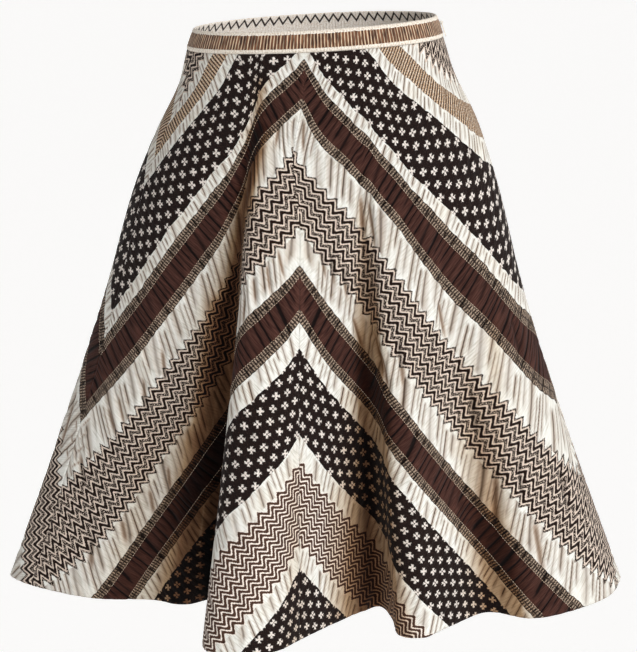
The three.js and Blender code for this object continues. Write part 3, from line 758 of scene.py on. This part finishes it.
    woven = add(tree, "Mix", {"data_type": "RGBA", 0: is_crosses, 6: ground, 7: crosses}, out=2)
    woven = add(tree, "Mix", {"data_type": "RGBA", 0: is_edged, 6: woven, 7: edged}, out=2)
    woven = add(tree, "Mix", {"data_type": "RGBA", 0: is_ribbed, 6: woven, 7: ribbed}, out=2)
    for start, end, weave in [band[:3] for band in BANDS if "zigzag" in band[2]]:
        is_below = add(tree, "Math", {"operation": "GREATER_THAN", 0: zigzag_level, 1: start})
        is_here = add(tree, "Math", {"operation": "LESS_THAN", 0: zigzag_level, 1: end})
        is_here = add(tree, "Math", {"operation": "MULTIPLY", 0: is_below, 1: is_here})
        lines = bold if weave == "zigzag" else pale
        woven = add(tree, "Mix", {"data_type": "RGBA", 0: is_here, 6: woven, 7: lines}, out=2)

    # Painted shade: the colour is darkened where shade gathers in the folds, and along the puckers and
    # creases
    shade = add(tree, "ValToRGB", {0: hollow, "stops": HOLLOW_SHADES})
    woven = add(tree, "Mix", {"data_type": "RGBA", "blend_type": "MULTIPLY", 0: 1.0, 6: woven,
                              7: shade}, out=2)
    dark = add(tree, "Math", {"operation": "MULTIPLY", 0: soft_shade, 1: SHADE_SHARE})
    dark = add(tree, "Math", {"operation": "MAXIMUM", 0: dark, 1: core})
    crease_darkening = add(tree, "MapRange", {"Value": crease, "From Min": 0.2, "To Max": 0.85})
    dark = add(tree, "Math", {"operation": "MAXIMUM", 0: dark, 1: crease_darkening})
    woven = add(tree, "Mix", {"data_type": "RGBA", "blend_type": "MULTIPLY", 0: dark, 6: woven,
                              7: CREASE_SHADE_TINT}, out=2)
    if reverse:
        woven = add(tree, "Mix", {"data_type": "RGBA", 0: REVERSE_SHARE, 6: woven, 7: REVERSE_TINT}, out=2)

    # Relief: the yarn, the puckers, and soft crinkles 9 mm apart and 60 mm long that run as they do
    crinkles = add(tree, "CombineXYZ", {0: slanted, 1: fall})
    crinkles = add(tree, "Mapping", {"Vector": crinkles, "Scale": (0.11, 0.016, 1)})
    crinkles = add(tree, "TexNoise", {"noise_dimensions": "2D", "Vector": crinkles, "Scale": 1.0,
                                      "Detail": 1.5})
    raised = fine
    for part, height in ((threads, THREAD_HEIGHT), (core, PUCKER_DROP), (crinkles, CRINKLE_HEIGHT)):
        raised = add(tree, "Math", {"operation": "MULTIPLY_ADD", 0: part, 1: height, 2: raised})
    relief = add(tree, "Bump", {"Height": raised, "Strength": 0.65, "Distance": 0.0009})
    finish = add(tree, "BsdfPrincipled", {
        "Base Color": woven, "Normal": relief, "Roughness": 0.9, "IOR": 1.5, "Specular IOR Level": 0.12,
        "Sheen Weight": 0.03, "Sheen Roughness": 0.5})
    add(tree, "OutputMaterial", {"Surface": finish})
    return material


cotton_face = banded_cotton("dobby_woven_cotton_face", False)
cotton_back = banded_cotton("dobby_woven_cotton_reverse", True)


def fallen_share(angles, rows, first_is_centre, widths):
    """How far the bands have fallen at some angles, from 0 at the centre to 1 at the side: read off the
    table in front, and by the share of the gore's width behind."""
    keys, waist, hem = np.transpose([
        row for row in FALLS if (row[0] >= CENTRE_FRONT if first_is_centre else row[0] <= CENTRE_FRONT)])
    if keys[0] <= angles[0] and angles[-1] <= keys[-1]:
        part = (rows / LENGTH)[:, None]
        more = np.interp(angles, *np.transpose(WAIST_FALLS)) * np.clip(1 - part / WAIST_FALLS_TO, 0, 1)
        return through(keys, waist, angles) * (1 - part) + through(keys, hem, angles) * part + more
    share = widths / widths[:, -1:]
    return share if first_is_centre else 1 - share


def pucker_relief(along, level):
    """The depth of the small puckers at each point, in mm."""
    edges = [band[0] for band in BANDS[1:]]
    start, end, pitch, lean, width, depth = np.array(
        [(b[0], b[1], *b[3:7]) for b in BANDS])[np.searchsorted(edges, level)].transpose(2, 0, 1)
    slanted = along - lean * level / ROOT_TWO
    phase = slanted / pitch
    for size, turn_along, turn_down, first in PUCKER_WAVES:
        phase = phase + size * np.sin(turn_along * slanted + turn_down * level + first)
    count = np.floor(phase)
    beside = (phase - count - 0.5) * pitch
    depth_step, start_step, length_step = [(count * step) % 1 for step in PUCKER_STEPS]
    below = (level - start) / (end - start) - (PUCKER_START[0] + PUCKER_START[1] * start_step)
    above = PUCKER_LENGTH[0] + PUCKER_LENGTH[1] * length_step - below
    fade = np.clip(below / PUCKER_FADE[0], 0, 1) * np.clip(above / PUCKER_FADE[1], 0, 1)
    return depth * (PUCKER_LEAST + (1 - PUCKER_LEAST) * depth_step) * fade * np.exp(-(beside / width) ** 2)


def beside_line(row, angles, rows, points):
    """How far each point lies beside a line from one place to another, in mm, and how far along it."""
    angle, down, end_angle, end_down = row[:4]
    turns = (angles - angle + FULL_TURN / 2) % FULL_TURN + angle - FULL_TURN / 2
    part = (rows[:, None] - down) / (end_down - down)
    spacing = np.linalg.norm(np.gradient(points, axis=1), axis=-1) / np.abs(np.gradient(angles))[None]
    return (turns[None] - angle - (end_angle - angle) * part) * spacing, part


def crease_relief(angles, rows, points):
    """The depth of the long creases in the table, and how strong the shade painted along each is."""
    depth, painted_crease_shade = np.zeros(points.shape[:2]), np.zeros(points.shape[:2])
    for row in CREASES:
        width, deep = row[4:]
        distance, part = beside_line(row, angles, rows, points)
        fade = np.clip(np.minimum(part / CREASE_FADE[0], (1 - part) / CREASE_FADE[1]), 0, 1)
        trough = np.exp(-(distance / width) ** 2) * fade * fade * (3 - 2 * fade)
        lip = np.exp(-((np.abs(distance) - CREASE_LIP[0] * width) / width) ** 2) * fade
        depth += CREASE_DEEPENED * deep * (trough - CREASE_LIP[1] * lip)
        mark = CREASE_PAINTED_SHADE[0] * np.exp(-(distance / (CREASE_PAINTED_SHADE[1] * width)) ** 2) * fade
        painted_crease_shade = np.maximum(painted_crease_shade, mark)
    return depth, painted_crease_shade


def fold_shades(angles, rows, points):
    """How dark the deep folds' shade is at each point."""
    (start, opening), (end, closing) = FOLD_SHADE_START, FOLD_SHADE_END
    shade = np.zeros(points.shape[:2])
    for row in FOLD_SHADES:
        width, strength = row[4:]
        distance, part = beside_line(row, angles, rows, points)
        fade = np.clip(np.minimum((part - start) / opening, (end - part) / closing), 0, 1)
        shade = np.maximum(shade, strength * np.exp(-(distance / width) ** 2) * fade)
    return shade


# Each gore's name and two seams, and its flat cut: its widest and longest in metres, and its area
GORES = (
    # name, from, to, first_is_centre, flat_width, flat_length, flat_area
    ("cotton_front_right", RIGHT_SIDE - FULL_TURN, CENTRE_FRONT, False, 0.55, 0.72, 0.232),
    ("cotton_front_left", CENTRE_FRONT, LEFT_SIDE, True, 0.59, 0.72, 0.273),
    ("cotton_back_left", LEFT_SIDE, CENTRE_BACK, False, 0.60, 0.72, 0.276),
    ("cotton_back_right", CENTRE_BACK, RIGHT_SIDE, True, 0.62, 0.72, 0.288),
)
gore_rows = np.linspace(BAND_HEIGHT + BAND_CLEAR, LENGTH, GORE_ROWS)
ring_angles = [even_columns(first, last, GORE_COLUMNS) for _, first, last, *_ in GORES]
ring = []
for angles in ring_angles:
    lean = np.exp(-((angles[None] - CENTRE_FRONT) / LEAN_ROUND) ** 2
                  - ((gore_rows[:, None] - LEAN_DOWN) / LEAN_REACH) ** 2)
    ring.append(cloth(angles[None] - LEAN_MOST * lean, gore_rows[:, None]))

# How deep in a fold each place lies, which sets how strong the shade painted there is: how much of the view
# outwards the cloth beside it takes away
whole_ring = np.concatenate(ring, axis=1)[..., :2]
plain_ring = np.stack(plain_section(np.concatenate(ring_angles)[None], gore_rows[:, None]), -1)
away = unit(plain_ring - plain_ring.mean(axis=1, keepdims=True))
open_view = np.zeros(whole_ring.shape[:2])
for side in (1, -1):
    horizon = np.full(whole_ring.shape[:2], math.pi / 2)
    for step in range(HOLLOW_FROM, HOLLOW_TO, HOLLOW_STEP):
        towards = np.roll(whole_ring, -side * step, axis=1) - whole_ring
        turn = side * (away[..., 0] * towards[..., 1] - away[..., 1] * towards[..., 0])
        horizon = np.minimum(horizon, np.arctan2(np.maximum(turn, 0), (away * towards).sum(-1)))
    open_view += horizon / math.pi
hollow_ring = np.clip((HOLLOW_OPEN - open_view) / (HOLLOW_OPEN - HOLLOW_DEEP), 0, 1)

gore_faces = {}
for (name, _, _, first_is_centre, *_), angles, points, hollow in zip(
        GORES, ring_angles, ring, np.split(hollow_ring, len(GORES), axis=1)):
    widths = far_along(points, 1)
    down_cloth = far_along(points, 0) + BAND_HEIGHT
    share = fallen_share(angles, gore_rows, first_is_centre, widths)
    level = down_cloth - FALL_SHARE * (down_cloth + FALL_ABOVE) * share
    for angle, down, reach_round, reach_down, lift in LIFTS:
        level += lift * np.exp(-((angles[None] - angle) / reach_round) ** 2
                               - ((gore_rows[:, None] - down) / reach_down) ** 2)
    along = along_bands(points, level)
    centre_column = 0 if first_is_centre else -1
    if along[0, centre_column] > along[0, -1 - centre_column]:
        along = -along
    along = along - along[0, centre_column] + level[0, centre_column] / ROOT_TWO

    puckers = pucker_relief(along, level)
    creases, crease_shade_marks = crease_relief(angles, gore_rows, points)
    from_centre = widths if first_is_centre else widths[:, -1:] - widths
    from_side = widths[:, -1:] - from_centre
    from_seam = np.minimum(from_centre, from_side)
    seam_roll = CENTRE_GROOVE * np.exp(-(from_centre / SEAM_ROLL) ** 2)
    seam_roll = seam_roll + SIDE_GROOVE * np.exp(-(from_side / SEAM_ROLL) ** 2)
    held = np.clip((gore_rows - gore_rows[0]) / WAIST_HOLDS, 0, 1)[:, None]
    relief = held * (puckers + creases) * np.clip(from_seam / SEAM_HOLDS[0], SEAM_HOLDS[1], 1) + seam_roll
    out = outwards(points)
    turned_up = np.clip((gore_rows - (LENGTH - HEM_TURN)) / HEM_STEP, 0, 1)[:, None, None] * HEM_EXTRA
    outer = points - out * relief[..., None]
    inner = outer - out * (CLOTH_THICKNESS + turned_up)
    # Shade painted into the cloth's colour: along the creases, and in the deep folds
    held_crease_shade = crease_shade_marks * held
    hollow = np.maximum(hollow, fold_shades(angles, gore_rows, points))
    band_map = np.stack([along, level], -1)
    piece = shell(name, outer, inner, band_map, band_map, crease=held_crease_shade, hollow=hollow)
    piece.data.materials.append(cotton_face)
    piece.data.materials.append(cotton_back)
    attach(piece, "skirt")
    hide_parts(name.replace("cotton", "gore"))
    gore_faces[name] = (outer, out, level)

# The stitching
# Twisted polyester thread in pale tan, sewn by machine along both sides of each plain brown stripe,
# where it meets its laddered edge. Each stitch sinks at its ends and stands a little proud between.
STITCH_LENGTH = 2.3          # mm
STITCH_PITCH = 3.3
STITCH_RISE = 0.25           # of its length, at each end
STITCH_HALF_WIDTH = 0.34
STITCH_TAPER = 0.5           # of that width is left at its ends
STITCH_PROUD = 0.42
STITCH_SUNK = 0.05
STITCH_BENEATH = 0.2         # its underside lies this deep in the cloth
SHORTEST_SEAM = 12
THREAD_TAN = "#d6c4ae"
THREAD_BROWN = "#8d6c50"


def along_level(points, out, level, wanted):
    """Where a height of the weave lies on the cloth: its points, and the way out of the cloth there."""
    rows = np.arange(level.shape[0])
    found, ways = [], []
    for column in range(level.shape[1]):
        if level[0, column] < wanted < level[-1, column]:
            row = np.interp(wanted, level[:, column], rows)
            above, part = int(row), row - int(row)
            below = min(above + 1, len(rows) - 1)
            found.append(points[above, column] * (1 - part) + points[below, column] * part)
            ways.append(out[above, column])
    return np.array(found), np.array(ways)


def walls_between(rings):
    """The faces that join each ring of a tube, given as its corners' numbers, to the next ring."""
    around = np.roll(rings, -1, axis=-1)
    return np.stack([rings[..., :-1, :], around[..., :-1, :], around[..., 1:, :], rings[..., 1:, :]],
                    -1).reshape(-1, 4)


def stitches(line, ways):
    """Points and faces of a run of stitches along a line of points on the cloth, in mm."""
    reach = far_along(line[None], 1)[0]
    starts = np.arange(STITCH_PITCH, reach[-1] - STITCH_PITCH, STITCH_PITCH)
    parts = np.array([0, STITCH_RISE, 1 - STITCH_RISE, 1])
    heights = np.array([-STITCH_SUNK, STITCH_PROUD, STITCH_PROUD, -STITCH_SUNK])
    widths = STITCH_HALF_WIDTH * np.array([STITCH_TAPER, 1, 1, STITCH_TAPER])
    at = starts[:, None] + STITCH_LENGTH * parts[None]
    middle = np.stack([np.interp(at, reach, line[:, axis]) for axis in range(3)], -1)
    up = unit(np.stack([np.interp(at, reach, ways[:, axis]) for axis in range(3)], -1))
    ahead = unit(np.gradient(middle, axis=1))
    side = np.cross(ahead, up) * widths[None, :, None]
    top = up * heights[None, :, None]
    rings = middle[:, :, None] + np.stack([top, top / 2 + side, -up * STITCH_BENEATH, top / 2 - side], 2)
    numbers = np.arange(rings.size // 3).reshape(rings.shape[:3])
    ends = [numbers[:, 0, ::-1], numbers[:, -1]]
    return rings.reshape(-1, 3), np.concatenate([walls_between(numbers), *ends])


def joined(name, runs, material):
    """One piece from several runs of points and faces, in mm."""
    points, faces, before = [], [], 0
    for run_points, run_faces in runs:
        points.append(run_points)
        faces.append(run_faces + before)
        before += len(run_points)
    piece = new_piece(name, (np.concatenate(points) * MM).tolist(), np.concatenate(faces).tolist())
    piece.data.polygons.foreach_set("use_smooth", np.ones(len(piece.data.polygons), bool))
    piece.data.materials.append(material)
    return piece


# Spun polyester thread: two plies 0.4 mm apart, which break its colour up along its length. They are
# drawn at about 1 mm so that they show
thread, thread_tree = new_material("spun_polyester_thread")
thread_place = add(thread_tree, "TexCoord", out="Object")
thread_plies = add(thread_tree, "TexNoise", {"Scale": 900.0, "Detail": 2.0, "Vector": thread_place})
thread_shade = add(thread_tree, "ValToRGB", {
    0: thread_plies, "stops": [(0.35, THREAD_BROWN), (0.6, THREAD_TAN)]})
thread_relief = add(thread_tree, "Bump", {"Strength": 0.5, "Distance": 0.0002, "Height": thread_plies})
thread_finish = add(thread_tree, "BsdfPrincipled", {
    "Base Color": thread_shade, "Normal": thread_relief, "Roughness": 0.6, "Specular IOR Level": 0.35})
add(thread_tree, "OutputMaterial", {"Surface": thread_finish})

for name, *_, flat_width, flat_length, flat_area in GORES:
    outer, out, level = gore_faces[name]
    runs = []
    for start, end, weave, *_ in BANDS:
        for part in (LADDER_WIDE, 1 - LADDER_WIDE) if weave == "edged" else ():
            line, ways = along_level(outer, out, level, start + (end - start) * part)
            if len(line) > 3 and far_along(line[None], 1)[0, -1] > SHORTEST_SEAM:
                runs.append(stitches(line, ways))
    sewing = joined(name.replace("cotton", "stitching"), runs, thread)
    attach(sewing, "skirt")

# The waistband
# A straight strip of a ribbed brown and ivory weave, folded double and shaped round the waist. It is
# sewn over the tops of the gores, and both its edges show a cord of the ivory ground.
BAND_PROUD = 0.8
BAND_WALL = 2.4
BAND_COLUMNS, BAND_ROWS = 760, 17
BAND_SWELL = 0.5             # how far its face stands out between its edges
BAND_ROLL, BAND_ROLL_INSIDE = 0.9, 1.2  # how far each face falls back at an edge,
BAND_ROLL_OVER = 0.04        # and over what share of the height
CORD_PROUD, CORD_FROM_EDGE, CORD_WIDTH = 0.35, 3, 1.6
BAND_EDGE = 4.2              # mm of ivory at its upper and lower edges
BAND_FRAY = 2.8              # mm that the edge between ivory and brown strays
BAND_RIB = 3.6
BAND_ENDS_APART = 2
WAIST_DEGREE = 2.4           # mm round the waist, at the zip
INSIDE_ZIGZAG = 11           # mm, two legs of the zigzag inside the band
INSIDE_STEEP, INSIDE_DOWN = 1.5, 2.5  # its slope, and mm from the waist edge to its upper turns
INSIDE_CLEAR = 0.3           # between both faces on the map
BAND_BROWN, BAND_BROWN_LIGHT, BAND_PALE_RIB = "#33190f", "#7d5238", "#d8c0a2"
BAND_IVORY, BAND_IVORY_DULL = "#ece4d8", "#c4b09a"
# The inside's plain ivory, painted lighter than the face's to stand for light, since the waist's inside lies
# in shade
INSIDE_IVORY_PAINTED_LIGHTER, INSIDE_IVORY_DULL_PAINTED_LIGHTER, INSIDE_LINE = "#f8f2ea", "#d8c6b4", "#2c201b"


def ribbed_band_material():
    """Ribbed ottoman weave in browns between two ivory edges, with a zigzag stitched line inside."""
    material, tree = new_material("ribbed_ottoman_weave")
    place = add(tree, "UVMap", {"uv_map": "bands"})
    along = add(tree, "SeparateXYZ", {0: place}, out="X")
    down = along.node.outputs["Y"]
    fine = add(tree, "TexNoise", {"noise_dimensions": "2D", "Vector": place, "Scale": 0.6, "Detail": 2.0,
                                  "Roughness": 0.7})
    streak = add(tree, "Mapping", {"Vector": place, "Scale": (0.55, 0.06, 1)})
    streak = add(tree, "TexNoise", {"noise_dimensions": "2D", "Vector": streak, "Scale": 1.0,
                                    "Detail": 2.0})
    ribs = add(tree, "Math", {"operation": "DIVIDE", 0: along, 1: BAND_RIB})
    ribs = add(tree, "Math", {"operation": "FRACT", 0: ribs})
    pale = add(tree, "ValToRGB", {0: ribs, "stops": [
        (0, ON), (0.14, ON), (0.3, OFF), (0.82, OFF), (0.97, ON)]})
    browns = add(tree, "ValToRGB", {0: streak, "stops": [(0.36, BAND_BROWN), (0.66, BAND_BROWN_LIGHT)]})
    pale_streak = add(tree, "MapRange", {"Value": streak, "From Min": 0.36, "From Max": 0.6, "To Min": 0.2})
    pale_streak = add(tree, "Math", {"operation": "MULTIPLY", 0: pale, 1: pale_streak})
    rib = add(tree, "Mix", {"data_type": "RGBA", 0: pale_streak, 6: browns, 7: BAND_PALE_RIB}, out=2)
    ivory = add(tree, "ValToRGB", {0: fine, "stops": [(0.45, BAND_IVORY), (0.7, BAND_IVORY_DULL)]})
    frayed = add(tree, "Math", {"operation": "MULTIPLY_ADD", 0: fine, 1: BAND_FRAY, 2: down})
    part = add(tree, "MapRange", {"Value": frayed, "From Min": BAND_FRAY / 2,
                                  "From Max": BAND_HEIGHT + BAND_FRAY / 2})
    edges = add(tree, "ValToRGB", {0: part, "between": "CONSTANT", "stops": [
        (0, OFF), (BAND_EDGE / BAND_HEIGHT, ON), (1 - BAND_EDGE / BAND_HEIGHT, OFF)]})
    face = add(tree, "Mix", {"data_type": "RGBA", 0: edges, 6: ivory, 7: rib}, out=2)

    # Inside, above nought on the map, it is plain ivory with one dark zigzag line near the top; its ivory is
    # painted lighter than the face's, as painted light
    leg = add(tree, "Math", {"operation": "PINGPONG", 0: along, 1: INSIDE_ZIGZAG / 2})
    line = add(tree, "Math", {"operation": "MULTIPLY_ADD", 0: leg, 1: INSIDE_STEEP, 2: INSIDE_DOWN})
    line = add(tree, "Math", {"operation": "ADD", 0: down, 1: line})
    line = add(tree, "Math", {"operation": "ABSOLUTE", 0: line})
    line = add(tree, "MapRange", {"Value": line, "From Min": 2.3, "From Max": 1.4})
    inside = add(tree, "ValToRGB", {0: fine, "stops": [(0.4, INSIDE_IVORY_PAINTED_LIGHTER), (0.7, INSIDE_IVORY_DULL_PAINTED_LIGHTER)]})
    inside = add(tree, "Mix", {"data_type": "RGBA", 0: line, 6: inside, 7: INSIDE_LINE}, out=2)
    is_inside = add(tree, "Math", {"operation": "LESS_THAN", 0: down, 1: -INSIDE_CLEAR / 2})
    woven = add(tree, "Mix", {"data_type": "RGBA", 0: is_inside, 6: face, 7: inside}, out=2)
    height = add(tree, "Math", {"operation": "MULTIPLY_ADD", 0: pale, 1: 0.6, 2: fine})
    relief = add(tree, "Bump", {"Height": height, "Strength": 0.7, "Distance": 0.001})
    finish = add(tree, "BsdfPrincipled", {
        "Base Color": woven, "Normal": relief, "Roughness": 0.86, "IOR": 1.5, "Specular IOR Level": 0.18,
        "Sheen Weight": 0.1, "Sheen Roughness": 0.6})
    add(tree, "OutputMaterial", {"Surface": finish})
    return material


def waistband_grid():
    """The waistband's outer and inner face, and where each point lies on its strip."""
    half_gap = BAND_ENDS_APART / 2 / WAIST_DEGREE
    angles = np.linspace(LEFT_SIDE + half_gap, LEFT_SIDE + FULL_TURN - half_gap, BAND_COLUMNS)
    downs = np.linspace(0, BAND_HEIGHT, BAND_ROWS)
    points = cloth(angles[None], downs[:, None])
    out = outwards(points)
    part = downs / BAND_HEIGHT
    rolled = np.exp(-(part / BAND_ROLL_OVER) ** 2) + np.exp(-((1 - part) / BAND_ROLL_OVER) ** 2)
    cord = np.exp(-((downs - CORD_FROM_EDGE) / CORD_WIDTH) ** 2)
    swell = BAND_PROUD + BAND_SWELL * np.sin(math.pi * part) - BAND_ROLL * rolled
    outer = points + out * (swell + CORD_PROUD * (cord + cord[::-1]))[:, None, None]
    inner = points + out * (swell - BAND_WALL + BAND_ROLL_INSIDE * rolled)[:, None, None]
    strip = np.stack(np.broadcast_arrays(far_along(points[:1], 1), downs[:, None]), -1)
    return outer, inner, strip


band_outer, band_inner, strip = waistband_grid()
# The inner face lies above nought on the map
inner_strip = strip * [1, -1] - [0, INSIDE_CLEAR]
waistband = shell("ottoman_waistband", band_outer, band_inner, strip, inner_strip)
ottoman = ribbed_band_material()
waistband.data.materials.append(ottoman)
waistband.data.materials.append(ottoman)
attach(waistband, "skirt")
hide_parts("waistband")

# The zip
# A concealed zip in the left side seam: two woven polyester tapes under the seam's edges, a polyester
# coil between them, and a zinc slider with its pull tab, enamelled ivory to go unseen on the cloth.
TEETH_FROM, TEETH_TO = 22, 190  # mm below the waist edge
TOOTH_PITCH = 1.5
TOOTH_SIDES = 8
TOOTH_HALF_WIDTH = 1.9
TOOTH_HALF_HEIGHT = 0.45
TOOTH_TAPER = ((-1, 0.6), (-0.7, 1), (0.7, 1), (1, 0.6))  # how thick, at parts of its half width
TEETH_BEHIND, TEETH_DEEP = 1.9, 1.3
IVORY_ENAMEL = "#e6e0d2"
ENAMEL_WORN = "#b9ad97"
TAPE_IVORY, TAPE_SHADE = "#ddd4c2", "#b8ac96"
COIL_IVORY, COIL_SHADE = "#d5cbb8", "#b7ab95"

# Enamelled zinc, die-cast: smooth and half glossy, a little duller where fingers rub it
enamel, enamel_tree = new_material("ivory_enamelled_zinc")
enamel_place = add(enamel_tree, "TexCoord", out="Object")
enamel_wear = add(enamel_tree, "TexNoise", {"Scale": 420.0, "Detail": 3.0, "Vector": enamel_place})
enamel_shade = add(enamel_tree, "ValToRGB", {
    0: enamel_wear, "stops": [(0.55, IVORY_ENAMEL), (0.8, ENAMEL_WORN)]})
enamel_roughness = add(enamel_tree, "MapRange", {"To Min": 0.28, "To Max": 0.5, "Value": enamel_wear})
enamel_relief = add(enamel_tree, "Bump", {"Strength": 0.15, "Distance": 0.0002, "Height": enamel_wear})
enamel_finish = add(enamel_tree, "BsdfPrincipled", {
    "Base Color": enamel_shade, "Roughness": enamel_roughness, "Normal": enamel_relief, "IOR": 1.5})
add(enamel_tree, "OutputMaterial", {"Surface": enamel_finish})

# Woven polyester tape, matt: a plain weave of threads 0.35 mm apart, drawn at 0.45 mm so that it shows
tape, tape_tree = new_material("woven_polyester_tape")
tape_place = add(tape_tree, "TexCoord", out="Object")
tape_rows = add(tape_tree, "TexWave", {"wave_type": "BANDS", "bands_direction": "Z", "Scale": 720.0,
                                       "Distortion": 1.5, "Vector": tape_place})
tape_shade = add(tape_tree, "ValToRGB", {0: tape_rows, "stops": [(0.2, TAPE_SHADE), (0.7, TAPE_IVORY)]})
tape_relief = add(tape_tree, "Bump", {"Strength": 0.4, "Distance": 0.0002, "Height": tape_rows})
tape_finish = add(tape_tree, "BsdfPrincipled", {
    "Base Color": tape_shade, "Normal": tape_relief, "Roughness": 0.75, "Specular IOR Level": 0.3})
add(tape_tree, "OutputMaterial", {"Surface": tape_finish})

# Polyester monofilament, wound as a coil: smooth and a little glossy
coil, coil_tree = new_material("polyester_coil")
coil_place = add(coil_tree, "TexCoord", out="Object")
coil_mottle = add(coil_tree, "TexNoise", {"Scale": 600.0, "Vector": coil_place})
coil_shade = add(coil_tree, "ValToRGB", {0: coil_mottle, "stops": [(0.3, COIL_SHADE), (0.6, COIL_IVORY)]})
coil_finish = add(coil_tree, "BsdfPrincipled", {"Roughness": 0.4, "Base Color": coil_shade})
add(coil_tree, "OutputMaterial", {"Surface": coil_finish})

for node_name, finish in (("zip_tape_front", tape), ("zip_tape_back", tape),
                          ("zip_slider", enamel), ("zip_pull_tab", enamel)):
    for slot in bpy.data.objects[node_name].material_slots:
        slot.material = finish

# A tooth is a short bar, rounded by its smooth shading. Its faces are numbered alike in every tooth
tooth_turns = np.linspace(0, 2 * math.pi, TOOTH_SIDES, endpoint=False)[:, None]
corners = np.arange(len(TOOTH_TAPER) * TOOTH_SIDES).reshape(-1, TOOTH_SIDES)
tooth_ends = [end[list(four)] for end in (corners[0, ::-1], corners[-1])
              for four in ((0, 1, 2, 3), (0, 3, 4, 7), (4, 5, 6, 7))]
tooth_faces = np.concatenate([walls_between(corners), tooth_ends])

tooth_downs = np.arange(TEETH_FROM, TEETH_TO, TOOTH_PITCH)
seam_points = cloth(LEFT_SIDE, tooth_downs)
seam_round = unit(cloth(LEFT_SIDE + 0.5, tooth_downs) - cloth(LEFT_SIDE - 0.5, tooth_downs))
seam_fall = unit(cloth(LEFT_SIDE, tooth_downs + 1) - seam_points)
seam_out = unit(np.cross(seam_fall, seam_round))
tooth_runs = []
for at, ahead, down, out in zip(seam_points, seam_round, seam_fall, seam_out):
    middle = at - out * (TEETH_BEHIND + TEETH_DEEP / 2)
    section = down * np.cos(tooth_turns) * TOOTH_HALF_HEIGHT - out * np.sin(tooth_turns) * TEETH_DEEP / 2
    rings = [middle + section * thick + ahead * TOOTH_HALF_WIDTH * part for part, thick in TOOTH_TAPER]
    tooth_runs.append((np.concatenate(rings), tooth_faces))
teeth = joined("zip_coil", tooth_runs, coil)
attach(teeth, "skirt")
